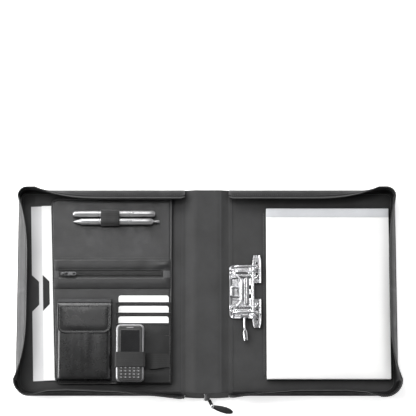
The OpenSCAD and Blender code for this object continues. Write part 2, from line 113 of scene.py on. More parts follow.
def ramp(tree, value, low, high, colour_low, colour_high):
    made = add(tree, "ShaderNodeValToRGB", {"Fac": value})
    made.color_ramp.elements[0].position = low
    made.color_ramp.elements[1].position = high
    made.color_ramp.elements[0].color = (*colour_low, 1)
    made.color_ramp.elements[1].color = (*colour_high, 1)
    return made.outputs["Color"]


def remap(tree, value, to_low, to_high, low=0.3, high=0.7):
    return add(tree, "ShaderNodeMapRange", {"Value": value, "From Min": low, "From Max": high,
                                            "To Min": to_low, "To Max": to_high}).outputs["Result"]


def bump(tree, shader, height, strength, distance, under=None):
    inputs = {"Height": height, "Strength": strength, "Distance": distance}
    if under is not None:
        inputs["Normal"] = under
    normal = add(tree, "ShaderNodeBump", inputs).outputs["Normal"]
    feed(tree, shader, Normal=normal)
    return normal


def feed(tree, shader, **values):
    for name, value in values.items():
        tree.links.new(value, shader.inputs[name.replace("_", " ")])


def leather(name, dark, light, rough, grain=900, depth=0.00012, wear=0.055, gloss=0.5, shade_reach=0.012,
            wrinkle=0.35):
    """Grained leather: pebbles, soft wrinkles, uneven colour and pale worn edges.

    It darkens within shade_reach metres of its neighbours: painted shade in creases and corners, under and
    between parts."""
    material, tree, shader = new_material(name, Specular_IOR_Level=gloss)
    where = place(tree)
    colour = ramp(tree, noise(tree, where, 22, 4), 0.32, 0.72, dark, light)
    edge = add(tree, "ShaderNodeNewGeometry").outputs["Pointiness"]
    worn = add(tree, "ShaderNodeMix", {0: remap(tree, edge, 0, 1, 0.53, 0.62), 6: colour,
                                       7: (wear, wear, wear * 1.03, 1)}, data_type="RGBA")
    # Painted shade: the base colour goes towards black where other surfaces are near.
    nearby = add(tree, "ShaderNodeAmbientOcclusion", {"Distance": shade_reach}, samples=8).outputs["AO"]
    painted_shade = add(tree, "ShaderNodeMix", {0: remap(tree, nearby, 0.05, 1, 0.35, 0.92), 6: (*grey(0.001), 1),
                                          7: worn.outputs[2]}, data_type="RGBA")
    sheen = remap(tree, noise(tree, where, 60, 3), rough - 0.05, rough + 0.07)
    feed(tree, shader, Base_Color=painted_shade.outputs[2], Roughness=sheen)
    cells = add(tree, "ShaderNodeTexVoronoi", {"Vector": where, "Scale": grain})
    wrinkles = bump(tree, shader, noise(tree, where, 130, 5), wrinkle, 0.0004)
    bump(tree, shader, cells.outputs["Distance"], 0.4, depth, wrinkles)
    return material


def woven(name, dark, light, pitch, rough=0.8, along=(1, 1, 1)):
    """Cloth: two crossed sets of threads, with uneven colour."""
    material, tree, shader = new_material(name, Sheen_Weight=0.15, Sheen_Roughness=0.5)
    where = place(tree, along)
    threads = []
    for direction in ("X", "Y"):
        wave = add(tree, "ShaderNodeTexWave", {"Vector": where, "Scale": 0.314 / pitch, "Distortion": 0.6},
                   wave_type="BANDS", bands_direction=direction)
        threads.append(wave.outputs["Fac"])
    weave = add(tree, "ShaderNodeMath", {0: threads[0], 1: threads[1]}, operation="MULTIPLY").outputs["Value"]
    both = add(tree, "ShaderNodeMath", {0: weave, 1: noise(tree, where, 30, 4), 2: 0.25},
               operation="MULTIPLY_ADD")
    feed(tree, shader, Base_Color=ramp(tree, both.outputs["Value"], 0.2, 0.9, dark, light),
         Roughness=remap(tree, noise(tree, where, 90), rough - 0.08, rough + 0.05))
    bump(tree, shader, weave, 0.5, 0.0002)
    return material


def metal(name, colour, rough, grain=(1, 1, 1), metallic=1.0):
    """Plated or brushed metal with streaks along one direction, smudges and faint scratches."""
    material, tree, shader = new_material(name, Metallic=metallic)
    streaks = noise(tree, place(tree, grain), 260, 3)
    smudges = noise(tree, place(tree), 45, 4)
    feed(tree, shader, Base_Color=ramp(tree, smudges, 0.3, 0.7, [c * 0.82 for c in colour], colour),
         Roughness=remap(tree, streaks, rough, rough + 0.12))
    bump(tree, shader, streaks, 0.12, 0.00005)
    return material


def paper(name, dark, light, fibre=240):
    material, tree, shader = new_material(name, Specular_IOR_Level=0.25)
    where = place(tree)
    feed(tree, shader, Base_Color=ramp(tree, noise(tree, where, 9, 5), 0.3, 0.7, dark, light),
         Roughness=remap(tree, noise(tree, where, 80), 0.72, 0.86))
    bump(tree, shader, noise(tree, where, fibre, 5), 0.15, 0.0001)
    return material


def plastic(name, dark, light, rough, coat=0.0):
    material, tree, shader = new_material(name, Coat_Weight=coat, Coat_Roughness=0.06)
    where = place(tree)
    feed(tree, shader, Base_Color=ramp(tree, noise(tree, where, 40, 3), 0.3, 0.7, dark, light),
         Roughness=remap(tree, noise(tree, where, 500, 2), rough, rough + 0.08))
    bump(tree, shader, noise(tree, where, 1800, 2), 0.05, 0.00003)
    return material


def grey(value, cool=1.0):
    return (value, value, value * cool)


LEATHER = leather("case_leather", grey(0.010), grey(0.020, 1.04), 0.4)
# Darker copy of the case leather for the top gussets and their corners: painted shade.
SHADED_GUSSET_LEATHER = leather("gusset_leather", grey(0.006), grey(0.015, 1.04), 0.5, gloss=0.32, shade_reach=0.03)
# Darkest, dullest copy of the case leather: painted shade on the bottom walls and on the soft leather behind
# the pouch flap.
DEEP_SHADE_LEATHER = leather("deep_shade_leather", grey(0.003), grey(0.009, 1.04), 0.6, gloss=0.1,
                             shade_reach=0.03)
# Lighter copy of the gusset leather for the side walls: painted light.
LIT_GUSSET_LEATHER = leather("lit_gusset_leather", grey(0.013), grey(0.027, 1.04), 0.46, shade_reach=0.02)
for dull in (SHADED_GUSSET_LEATHER, DEEP_SHADE_LEATHER):
    dull.node_tree.nodes["Principled BSDF"].inputs["IOR"].default_value = 1.3
SMOOTH_LEATHER = leather("smooth_leather", grey(0.008), grey(0.018, 1.03), 0.34, grain=1300, depth=0.00007,
                         gloss=0.4)
PATENT = leather("pouch_leather", grey(0.006), grey(0.013, 1.03), 0.27, grain=1100, depth=0.00005,
                 wrinkle=0.14)
PANEL_LEATHER = leather("panel_leather", grey(0.017), grey(0.031, 1.04), 0.36, grain=1000, gloss=0.55)
LINING = leather("lining", grey(0.034), grey(0.045, 1.02), 0.56, grain=1500, depth=0.00006, wear=0.05,
                 gloss=0.26, shade_reach=0.018)
TAPE = woven("zip_tape", grey(0.008), grey(0.02), 0.0009)
ELASTIC = woven("elastic", grey(0.008), grey(0.022), 0.0012, along=(1, 0.35, 1))
COIL = plastic("zip_coil", grey(0.01), grey(0.02), 0.3)
THREAD = woven("thread", grey(0.08), grey(0.17), 0.0004, rough=0.6)
CHROME = metal("chrome", grey(0.74, 1.02), 0.12)
BRUSHED = metal("brushed_silver", grey(0.45, 1.01), 0.24, grain=(0.06, 1, 1), metallic=0.7)
PHONE_METAL = metal("phone_metal", grey(0.42, 1.02), 0.3)
NICKEL = metal("dark_nickel", grey(0.12, 1.02), 0.28)
WHITE_PAPER = paper("white_paper", (0.87, 0.87, 0.87), (0.93, 0.93, 0.92))
GREY_CARD = paper("grey_card", (0.70, 0.70, 0.71), (0.77, 0.77, 0.77))
DARK_CARD = paper("dark_card", grey(0.02), grey(0.03))
GREY_TAPE = paper("header_tape", (0.50, 0.51, 0.53), (0.62, 0.63, 0.65), fibre=500)
BOARD = paper("grey_board", (0.30, 0.28, 0.25), (0.42, 0.40, 0.36), fibre=400)
SHELL = plastic("phone_shell", grey(0.22, 1.02), grey(0.28, 1.02), 0.25, coat=0.3)
GLASS = plastic("phone_glass", grey(0.006), grey(0.012, 1.1), 0.05, coat=1.0)
DARK_PLASTIC = plastic("dark_plastic", grey(0.02), grey(0.035), 0.3, coat=0.2)

# ---------- mesh helpers


def mesh_piece(name, points, faces, material, body=None, sharp=42):
    """A closed mesh from points in millimetres; it rides on body if one is given."""
    mesh = bpy.data.meshes.new(name)
    corners = [tuple(float(c) * MM for c in p) for p in points]
    mesh.from_pydata(corners, [], [tuple(map(int, f)) for f in faces])
    work = bmesh.new()
    work.from_mesh(mesh)
    bmesh.ops.recalc_face_normals(work, faces=work.faces)
    work.to_mesh(mesh)
    work.free()
    mesh.materials.append(material)
    mesh.shade_smooth()
    mesh.set_sharp_from_angle(angle=math.radians(sharp))
    piece = bpy.data.objects.new(name, mesh)
    bpy.context.scene.collection.objects.link(piece)
    if body:
        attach(piece, body)
    return piece


def lines(low, high, step, insets=()):
    """Grid lines from low to high, with extra lines at the insets from both ends."""
    margin = max(insets) if insets else 0
    count = max(1, round((high - low - 2 * margin) / step))
    inner = np.linspace(low + margin, high - margin, count + 1)
    return np.unique(np.round(np.concatenate([[low + i for i in (0, *insets)], inner,
                                              [high - i for i in (0, *insets)]]), 4))


def edge_steps(radius):
    return (0.12 * radius, 0.4 * radius, radius)


def drop(distance, radius):
    """How far a rounded edge lies under the flat at a distance from the outline."""
    d = np.clip(distance, 0, radius)
    return radius - np.sqrt(np.maximum(radius**2 - (radius - d) ** 2, 0))


def inset_in(x0, x1, y0, y1):
    return lambda x, y: np.minimum(np.minimum(x - x0, x1 - x), np.minimum(y - y0, y1 - y))


def corner_radius(radii, x_side, y_side):
    """Radius at one corner. radii: low-x side, high-x side and, if given, the rounder side's foot."""
    radius = radii[x_side]
    if len(radii) == 3 and y_side == 0 and radius == max(radii[:2]):
        return radii[2]
    return radius


def round_off(x0, x1, y0, y1, *radii):
    """Moves grid points so that the rectangle gets round corners."""
    def warp(x, y):
        px, py = x.copy(), y.copy()
        for i, x_side in enumerate((x0, x1)):
            sx = 2 * i - 1
            for j, y_side in enumerate((y0, y1)):
                sy = 2 * j - 1
                radius = corner_radius(radii, i, j)
                cx, cy = x_side - sx * radius, y_side - sy * radius
                a, b = (x - cx) * sx, (y - cy) * sy
                inside = (a > 0) & (b > 0)
                reach = np.maximum(a, b)
                angle = np.where(a >= b, b / np.maximum(a, 1e-9), 2 - a / np.maximum(b, 1e-9)) * math.pi / 4
                px = np.where(inside, cx + sx * reach * np.cos(angle), px)
                py = np.where(inside, cy + sy * reach * np.sin(angle), py)
        return px, py

    return warp


def round_ends(x0, x1, y0, y1, low_r, high_r):
    """Like round_off, with one radius for the low-y end and one for the high-y end."""
    swapped = round_off(y0, y1, x0, x1, low_r, high_r)

    def warp(x, y):
        py, px = swapped(y, x)
        return px, py

    return warp


def slab(name, xs, ys, top, bottom, material, body=None, keep=None, warp=None, sharp=42):
    """Closed sheet over a grid. top and bottom are heights at (x, y); keep says which cells are there."""
    x, y = np.meshgrid(xs, ys, indexing="ij")
    rows, cols = x.shape
    high = np.broadcast_to(top(x, y) if callable(top) else top, x.shape)
    low = np.broadcast_to(bottom(x, y) if callable(bottom) else bottom, x.shape)
    px, py = warp(x, y) if warp else (x, y)
    points = [*zip(px.ravel(), py.ravel(), high.ravel()), *zip(px.ravel(), py.ravel(), low.ravel())]
    half = rows * cols
    there = np.ones((rows - 1, cols - 1), bool)
    if keep:
        there = keep((x[:-1, :-1] + x[1:, 1:]) / 2, (y[:-1, :-1] + y[1:, 1:]) / 2)
    faces = []
    for i, j in zip(*np.nonzero(there)):
        a, b, c, d = i * cols + j, (i + 1) * cols + j, (i + 1) * cols + j + 1, i * cols + j + 1
        faces += [(a, b, c, d), (half + d, half + c, half + b, half + a)]
        for other_i, other_j, p, q in ((i, j - 1, a, b), (i + 1, j, b, c), (i, j + 1, c, d),
                                       (i - 1, j, d, a)):
            outside = not (0 <= other_i < rows - 1 and 0 <= other_j < cols - 1)
            if outside or not there[other_i, other_j]:
                faces.append((q, p, half + p, half + q))
    used = sorted({v for f in faces for v in f})
    index = {v: k for k, v in enumerate(used)}
    return mesh_piece(name, [points[v] for v in used], [[index[v] for v in f] for f in faces],
                      material, body, sharp)


def plate(name, box, material, body, corner=(0, 0), *, edge, step, rise=None):
    """A flat piece with round corners and soft edges; rise(x, y) lifts its top face."""
    (x0, y0, z0), (x1, y1, z1) = box
    edge = min(edge, (z1 - z0) * 0.48)
    inset = inset_in(x0, x1, y0, y1)
    steps = {*edge_steps(edge), *(s for r in corner for s in (r * 0.45, r * 0.75, r) if s > edge * 1.3)}

    def top(x, y):
        lift = rise(x, y) * np.clip(inset(x, y) / 6, 0, 1) if rise else 0
        return z1 - drop(inset(x, y), edge) + lift

    def bottom(x, y):
        return z0 + drop(inset(x, y), edge)

    warp = round_off(x0, x1, y0, y1, *corner) if max(corner) > 0 else None
    return slab(name, lines(x0, x1, step, steps), lines(y0, y1, step, steps), top, bottom, material, body,
                warp=warp)


def rings(name, loops, material, body=None, closed=False, sharp=50):
    """A skin over loops of points; the two ends are capped unless closed."""
    count, width = len(loops), len(loops[0])
    points = [p for loop in loops for p in loop]
    faces = []
    for i in range(count if closed else count - 1):
        a, b = i * width, ((i + 1) % count) * width
        faces += [(a + k, a + (k + 1) % width, b + (k + 1) % width, b + k) for k in range(width)]
    if not closed:
        faces += [tuple(range(width))[::-1], tuple(range((count - 1) * width, count * width))]
    return mesh_piece(name, points, faces, material, body, sharp)


def circle(radius, sides):
    turn = np.linspace(0, 2 * math.pi, sides, endpoint=False)
    return radius * np.stack([np.cos(turn), np.sin(turn)], 1)


def sweep(name, path, section, material, body=None, up=(0, 0, 1), closed=False, sharp=50):
    """Carries a flat outline along a path. section is one outline or one for each point."""
    path = np.asarray(path, float)
    ahead, behind = np.roll(path, -1, 0), np.roll(path, 1, 0)
    if not closed:
        ahead[-1], behind[0] = path[-1], path[0]
    way = ahead - behind
    way /= np.linalg.norm(way, axis=1)[:, None]
    outline = np.asarray(section, float)
    many = outline.ndim == 3
    loops, last = [], np.asarray(up, float)
    for i, point in enumerate(path):
        last = last - way[i] * np.dot(last, way[i])
        last /= np.linalg.norm(last)
        side = np.cross(way[i], last)
        flat = outline[i] if many else outline
        loops.append([point + side * a + last * b for a, b in flat])
    return rings(name, loops, material, body, closed, sharp)


def rounded_path(corners, radius, steps=6):
    """A line through corners, each corner turned on an arc."""
    corners = [np.asarray(c, float) for c in corners]
    path = [corners[0]]
    for before, at, after in zip(corners, corners[1:], corners[2:]):
        a, b = before - at, after - at
        r = min(radius, np.linalg.norm(a) / 2, np.linalg.norm(b) / 2)
        p, q = at + a / np.linalg.norm(a) * r, at + b / np.linalg.norm(b) * r
        for t in np.linspace(0, 1, steps):
            path.append((1 - t) ** 2 * p + 2 * t * (1 - t) * at + t * t * q)
    return np.array([*path, corners[-1]])


def resample(path, pitch):
    """Points a pitch apart along a path, with the direction at each."""
    path = np.asarray(path, float)
    leg = np.linalg.norm(np.diff(path, axis=0), axis=1)
    reach = np.concatenate([[0], np.cumsum(leg)])
    count = max(1, int(reach[-1] / pitch))
    at = np.linspace(reach[-1] / count / 2, reach[-1] - reach[-1] / count / 2, count)

    def along(distance):
        return np.stack([np.interp(distance, reach, path[:, k]) for k in range(3)], 1)

    step = along(np.minimum(at + 0.4, reach[-1])) - along(np.maximum(at - 0.4, 0))
    return along(at), step / np.maximum(np.linalg.norm(step, axis=1), 1e-9)[:, None]


def stitches(name, paths, body=None, up=(0, 0, 1), pitch=3.4, size=(2.3, 0.85, 0.42)):
    """Sewn thread: one small raised stitch after the other along each path."""
    length, width, height = size
    points, faces = [], []
    for path in paths:
        for place_at, way in zip(*resample(path, pitch)):
            rise = np.asarray(up, float)
            side = np.cross(way, rise)
            base = len(points)
            points += [place_at + way * length / 2, place_at - way * length / 2, place_at + side * width / 2,
                       place_at - side * width / 2, place_at + rise * height, place_at - rise * height * 0.6]
            for a, b in ((0, 2), (2, 1), (1, 3), (3, 0)):
                faces += [(base + a, base + b, base + 4), (base + b, base + a, base + 5)]
    return mesh_piece(name, points, faces, THREAD, body, sharp=80)


def outline_path(x0, x1, y0, y1, z, radii, inset, sides="LTRB"):
    """The stitch line inside a rectangle with round corners."""
    a, b = (x0 + inset, x1 - inset), (y0 + inset, y1 - inset)
    ring = []
    for i, j, start in ((0, 1, 180), (1, 1, 90), (1, 0, 0), (0, 0, -90)):
        r = max(corner_radius(radii, i, j) - inset, 0.6)
        cx, cy = a[i] + r * (1 - 2 * i), b[j] + r * (1 - 2 * j)
        for turn in np.radians(start - np.linspace(0, 90, 7)):
            ring.append((cx + r * math.cos(turn), cy + r * math.sin(turn), z))
    parts = {"T": ring[3:11], "R": ring[10:18], "B": ring[17:25], "L": ring[24:] + ring[:4]}
    return [parts[s] for s in sides]


def lathe(name, profile, centre, material, body):
    """Turns a profile of (x, radius) about a line along X through centre = (y, z)."""
    loops = [[(x, centre[0] + a, centre[1] + b) for a, b in circle(r, 28)] for x, r in profile]
    return rings(name, loops, material, body, sharp=40)


def turret(name, profile, centre, body):
    """Turns a profile of (z, radius) about an upright line through centre = (x, y)."""
    loops = [[(centre[0] + a, centre[1] + b, z) for a, b in circle(r, 24)] for z, r in profile]
    return rings(name, loops, CHROME, body)


def pillow(half_w, half_t, sides, w_power=0.6, t_power=0.6):
    """An outline between an oval and a rectangle."""
    turns = np.linspace(0, 2 * math.pi, sides, endpoint=False)
    return [(half_w * np.sign(math.cos(a)) * abs(math.cos(a)) ** w_power,
             half_t * np.sign(math.sin(a)) * abs(math.sin(a)) ** t_power) for a in turns]


def blocks(name, places, foot, head, body=None):
    """Zip teeth: blocks that narrow from foot to head, each at (point, along, across, up)."""
    points, faces = [], []
    for at, along, across, up in places:
        base = len(points)
        for a, b, c in (foot, head):
            for s, t in ((-1, -1), (1, -1), (1, 1), (-1, 1)):
                points.append(at + along * (a * s) + across * (b * t) + up * c)
        faces += [tuple(base + v for v in face) for face in BLOCK_FACES]
    return mesh_piece(name, points, faces, COIL, body)


BLOCK_FACES = ((0, 3, 2, 1), (4, 5, 6, 7), (0, 1, 5, 4), (1, 2, 6, 5), (2, 3, 7, 6), (3, 0, 4, 7))


def ribbon(name, path, low, high, thick, material, body, wave=None):
    """A band with its width along Y: path is its (x, z) line, and wave(x) shifts its low edge."""
    path = np.asarray(path, float)
    way = np.gradient(path, axis=0)
    way /= np.linalg.norm(way, axis=1)[:, None]
    out = np.stack([-way[:, 1], way[:, 0]], 1) * thick / 2
    loops = []
    for (x, z), (nx, nz) in zip(path, out):
        shift = wave(x) if wave else 0
        row = [low + shift, low + shift + 1.2, (low + high) / 2, high - 1.2, high]
        loops.append([(x + nx, y, z + nz) for y in row] + [(x - nx, y, z - nz) for y in row[::-1]])
    return rings(name, loops, material, body)


def ease(t):
    """From 0 to 1 with a soft start and end."""
    t = np.clip(t, 0, 1)
    return t * t * (3 - 2 * t)


def bell(value, centre, width):
    return np.exp(-((value - centre) / width) ** 2)


def ripples(height, length, seed):
    """Soft uneven waves of a hand-made sheet."""
    def rise(x, y):
        return height * (np.sin(x / length + seed) * np.cos(y / length * 0.8 + seed * 2)
                         + 0.5 * np.sin((x + y) / length * 1.9 + seed * 3))
    return rise


def finish_cad(nodes, material):
    """Gives the finish to CAD nodes whose shape is already right."""
    for node in nodes:
        piece = frame["nodes"][node]
        piece.data.materials.clear()
        piece.data.materials.append(material)
        piece.data.shade_smooth()
        piece.data.set_sharp_from_angle(angle=math.radians(35))


# ---------- covers

BOARD_LOW, BOARD_HIGH = span("back_board")
BOARD_TOP = BOARD_HIGH[2]
LINING_TOP = span("back_lining")[1][2]
OVERLAY_TOP = span("front_overlay")[1][2]
CORNER = {TOP: 14, BOTTOM: 22}
SPINE_R = 3
HEM_INSET = 4
# The overlay's free edge: it steps back by STEP_DEPTH between two distances from mid height.
STEP_FROM, STEP_TO, STEP_DEPTH = 66, 118, 32


def cover_radii(side, inset=0):
    """A cover's corner radii: small at the spine, round at the fore-edge and rounder at its foot."""
    top, foot = CORNER[TOP] - inset, CORNER[BOTTOM] - inset
    return (SPINE_R, top, foot) if side == BACK else (top, SPINE_R, foot)


def cover(side):
    """Leather board with a turned, stitched edge, and the lining inside it."""
    name = SIDE_NAME[side]
    body = name + "_cover"
    low_z = OVERLAY_TOP if side == FRONT else 0
    x0, x1 = sorted((side * BOARD_LOW[0], side * BOARD_HIGH[0]))
    radii, inner = cover_radii(side), cover_radii(side, HEM_INSET)
    board = plate(name + "_leather", ((x0, BOARD_LOW[1], low_z), (x1, BOARD_HIGH[1], BOARD_TOP)),
                  LEATHER, body, radii, edge=1.6, step=14)
    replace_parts(board, name + "_board")
    low, high = span(name + "_lining")
    sheet = plate(name + "_lining_sheet", (low, high), LINING, body, inner, edge=0.3, step=9,
                  rise=ripples(0.2, 23, side))
    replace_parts(sheet, name + "_lining")
    if side == BACK:
        outside = outline_path(x0, x1, BOARD_LOW[1], BOARD_HIGH[1], low_z, radii, 4.5)
        stitches(name + "_outer_stitches", outside, body, up=(0, 0, -1))
    stitches(name + "_lining_stitches", outline_path(*plan(low, high), high[2], inner, 2.0), body)


def front_overlay():
    """Outer pocket panel: its free edge steps back from the spine at mid height, and all edges are sewn."""
    low, high = span("front_overlay")
    box = plan(low, high)
    radii = (CORNER[TOP] - 1, 2, CORNER[BOTTOM] - 1)
    ys = lines(low[1], high[1], 9, (1, 2, 6, 12, 20))
    xs = lines(low[0], high[0], 9, (0.4, 1.2, 5, 10, 18))
    inset = inset_in(*box)

    def warp(x, y):
        step = np.interp(np.abs(y), [STEP_FROM, STEP_TO], [-STEP_DEPTH, 0])
        px, py = round_off(*box, *radii)(x, y)
        return px + step * ((x - low[0]) / (high[0] - low[0])) ** 3, py

    panel = slab("front_pocket_panel", xs, ys, high[2], lambda x, y: drop(inset(x, y), 1.0), LEATHER,
                 "front_cover", warp=warp)
    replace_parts(panel, "front_overlay")
    sewn_x = high[0] - 3
    back_x = sewn_x - STEP_DEPTH
    corners = [(sewn_x, high[1] - 4), (sewn_x, STEP_TO + 1), (back_x, STEP_FROM + 1),
               (back_x, -STEP_FROM - 1), (sewn_x, -STEP_TO - 1), (sewn_x, low[1] + 4)]
    edge = rounded_path([(x, y, 0) for x, y in corners], 8)
    outer = outline_path(*box, 0, radii, 3.5, "TLB")
    stitches("front_panel_stitches", [edge, *outer], "front_cover", up=(0, 0, -1))


cover(BACK)
cover(FRONT)
front_overlay()

# ---------- gussets

JOINTS = {j["name"]: j for j in frame["joints"]}
FOOT_X = JOINTS["back_side_raise"]["pos_m"][0] / MM
FOOT_Y = JOINTS["back_top_raise"]["pos_m"][1] / MM
FOOT_Z = JOINTS["back_side_raise"]["pos_m"][2] / MM
SIDE_LEAN = {side: JOINTS[name + "_side_raise"]["range_deg"][1] for side, name in SIDE_NAME.items()}
TOP_LEAN = JOINTS["back_top_raise"]["range_deg"][1]
FLARE = {(BACK, TOP): 5, (FRONT, TOP): 5, (BACK, BOTTOM): 20, (FRONT, BOTTOM): 11}
ARC = {TOP: CORNER[TOP] - 1, BOTTOM: CORNER[BOTTOM] - 1}
WALL_START = 296
# Outward lean of the bottom gussets at distances from the spine.
SPLAY_AT = [40, 90, 150, 236, 270, WALL_START]
SPLAY = {BACK: [26, 6, -6, -7, 0, 20], FRONT: [31, 16, 0, -8, -5, 11]}
WALL_END = 37.5
LEAN_RUN = 120
WALL_H = 26.1
LEATHER_H = 20.6
LEATHER_SECTION = [(-1.0, -0.8), (-1.5, 4), (-1.7, 10), (-1.6, 17), (-1.4, 19.6), (-0.8, LEATHER_H),
                   (0.5, LEATHER_H), (1.3, 19.6), (1.9, 17), (2.6, 10), (2.2, 4), (1.2, -0.8)]
TAPE_SECTION = [(-0.45, 18), (-0.45, 25.4), (0.45, 25.4), (0.45, 18)]
TOOTH_PITCH = 1.7


def turn_in(run):
    """Share of a wall's full lean at a distance from the corner: quick at first, then slow."""
    return 1 - (1 - np.clip(run / LEAN_RUN, 0, 1)) ** 2.6


def wall_line(side, end, part):
    """Stations along a gusset's foot: (foot point, outward direction, lean in degrees)."""
    flare = FLARE[side, end]
    stations = []
    if part == "edge":
        for x in WALL_START - (WALL_START - WALL_END) * np.linspace(0, 1, 60) ** 1.3:
            w = turn_in(WALL_START - x)
            lean = w * TOP_LEAN - (1 - w) * flare if end == TOP else -np.interp(x, SPLAY_AT, SPLAY[side])
            stations.append(((side * x, end * FOOT_Y), (0, end), float(lean)))
    if part == "side":
        for y in (FOOT_Y - ARC[end]) * (1 - np.linspace(0, 1, 44) ** 1.3):
            w = turn_in(FOOT_Y - ARC[end] - y)
            stations.append(((side * FOOT_X, end * y), (side, 0), w * SIDE_LEAN[side] - (1 - w) * flare))
    if part == "corner":
        for x in (WALL_START, (WALL_START + FOOT_X - ARC[end]) / 2):
            stations.append(((side * x, end * FOOT_Y), (0, end), -flare))
        for turn in np.radians(np.linspace(90, 0, 13)):
            out = (side * math.cos(turn), end * math.sin(turn))
            foot = (side * (FOOT_X - ARC[end]) + ARC[end] * out[0],
                    end * (FOOT_Y - ARC[end]) + ARC[end] * out[1])
            stations.append((foot, out, -flare))
    return stations


def wall_point(station, out, height):
    (x, y), (nx, ny), lean = station
    c, s = math.cos(math.radians(lean)), math.sin(math.radians(lean))
    reach = out * c - height * s
    return np.array([x + nx * reach, y + ny * reach, FOOT_Z + out * s + height * c])


def wall_mesh(stations, section, taper):
    """Loops of a wall; a free end is rounded off over its last stations."""
    top = max(h for _, h in section)
    loops = []
    for i, station in enumerate(reversed(stations)):
        trim = {0: 5.5, 1: 1.6}.get(i, 0) if taper else 0
        loops.append([wall_point(station, a, min(h, top - trim * (h > 12))) for a, h in section])
    return loops[::-1]


def teeth(name, stations):
    """Half of the zip's teeth along a wall's free edge."""
    edge = [wall_point(s, 0, WALL_H - 0.9) for s in stations]
    ups = np.array([wall_point(s, 0, WALL_H) - wall_point(s, 0, 0) for s in stations])
    reach = np.concatenate([[0], np.cumsum(np.linalg.norm(np.diff(edge, axis=0), axis=1))])
    points, ways = resample(edge, TOOTH_PITCH)
    places = []
    for i, (at, way) in enumerate(zip(points, ways)):
        run = (i + 0.5) / len(points) * reach[-1]
        up = np.array([np.interp(run, reach, ups[:, c]) for c in range(3)])
        up /= np.linalg.norm(up)
        places.append((at, way, np.cross(way, up), up))
    return blocks(name, places, (0.42, 1.3, -0.9), (0.34, 0.8, 0.8))


def gusset(side, end, part):
    """Leather wall, zip tape, teeth and stitches along one stretch of a gusset."""
    prefix = SIDE_NAME[side]
    wall_body = f"{prefix}_{'side' if part == 'side' else END_NAME[end]}"
    tag = f"{prefix}_{END_NAME[end]}_{part}"
    stations = wall_line(side, end, part)
    free = part == "edge"
    # Painted light and shade: side walls take a lighter copy of the leather, top walls a darker copy, bottom
    # walls the darkest.
    skin = LIT_GUSSET_LEATHER if part == "side" else SHADED_GUSSET_LEATHER if end == TOP else DEEP_SHADE_LEATHER
    made = [rings(tag + "_gusset", wall_mesh(stations, LEATHER_SECTION, free), skin),
            rings(tag + "_zip_tape", wall_mesh(stations, TAPE_SECTION, free), TAPE),
            teeth(tag + "_zip_teeth", stations[:-1] if free else stations)]
    nx, ny = stations[0][1]
    for face, out, sign in (("in", -1.62, -1), ("out", 2.2, 1)):
        line = [wall_point(s, out, LEATHER_H - 3.4) for s in stations]
        made.append(stitches(f"{tag}_stitches_{face}", [line], up=(nx * sign * 0.7, ny * sign * 0.7, 0.7)))
    for piece in made:
        if part == "corner":
            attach(piece, prefix + "_cover")
        else:
            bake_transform(piece)
    shown = [prefix + "_corner_walls"] if part == "corner" else [wall_body + "_wall", wall_body + "_zip"]
    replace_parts(made[0], *shown)


for cover_side in (BACK, FRONT):
    for cover_end in (TOP, BOTTOM):
        for wall_part in ("edge", "side", "corner"):
            gusset(cover_side, cover_end, wall_part)

# ---------- spine

SPINE_LOW, SPINE_HIGH = span("spine_panel")
SKIN_END = 44
SPINE_SEAM = 24


def spine_skin(side):
    """Lining over the spine and leather under it, bending at the fold lines. The front piece is wider."""
    tag = SIDE_NAME[side]
    ys = lines(SPINE_LOW[1] - 1, SPINE_HIGH[1] + 1, 8, (0.5, 1.5, 3))
    xs = np.concatenate([np.linspace(SPINE_SEAM, 40, 18), [42, SKIN_END]])
    if side == FRONT:
        xs = np.concatenate([[-SKIN_END, -42], np.linspace(-40, -23, 20), np.linspace(-21, SPINE_SEAM, 16)])
    inset = inset_in(-90, 90, ys[0], ys[-1])

    def between(middle, foot, share):
        return middle + (foot - middle) * share

    def across(x):
        return ease((np.abs(x) - 17) / 21)

    def slope(x):
        return between(SPINE_HIGH[2] - 2.1, LINING_TOP + 0.5, across(x))

    def upper(x, y):
        seam, fold = 0.25 * bell(x, SPINE_SEAM + 1, 2.6), 0.14 * bell(np.abs(x), 37, 2.4)
        soft = 0.22 * np.sin(x / 9 + 1) * np.cos(y / 60) + 0.12 * np.sin(y / 17 + x / 6)
        return slope(x) + seam - fold + soft * (1 - 0.6 * across(x)) - drop(inset(x, y), 0.6)

    def lower(x, y):
        under = between(SPINE_LOW[2] - 0.5, 0.4, ease((np.abs(x) - 26) / 12))
        return np.minimum(under, slope(x) - 1.4)

    made = [slab(tag + "_spine_lining", xs, ys, upper, lambda x, y: upper(x, y) - 0.7, LINING),
            slab(tag + "_spine_leather", xs, ys, lambda x, y: lower(x, y) + 0.8, lower, LEATHER)]
    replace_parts(made[1], "spine_panel")
    for piece in made:
        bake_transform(piece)


spine_skin(BACK)
spine_skin(FRONT)

# ---------- handle


PAD_END, PAD_FADE = 58, 16
STRAP_T, STRAP_PAD = 2.6, 3.0
STRAP_END_Z = 2.9
KEEPER_W = 12


def strap_half(end, low, half_w):
    """Path and outlines of half the padded strap, from its middle to its tongue."""
    path, sections = [], []
    for y in np.concatenate([np.linspace(0, 76, 30), np.linspace(78, span("handle_ends")[1][1] + 3, 12)]):
        grip = 1 - float(ease((y - PAD_END) / PAD_FADE))
        thick = STRAP_T + STRAP_PAD * grip
        centre = low[2] + 1.6 * (1 - grip) + thick / 2 if grip > 0.02 else STRAP_END_Z
        path.append((0, end * y, centre))
        sections.append(pillow(half_w - 1.4 * (1 - grip), thick / 2, 24, 0.55, 0.75))
    return path, sections


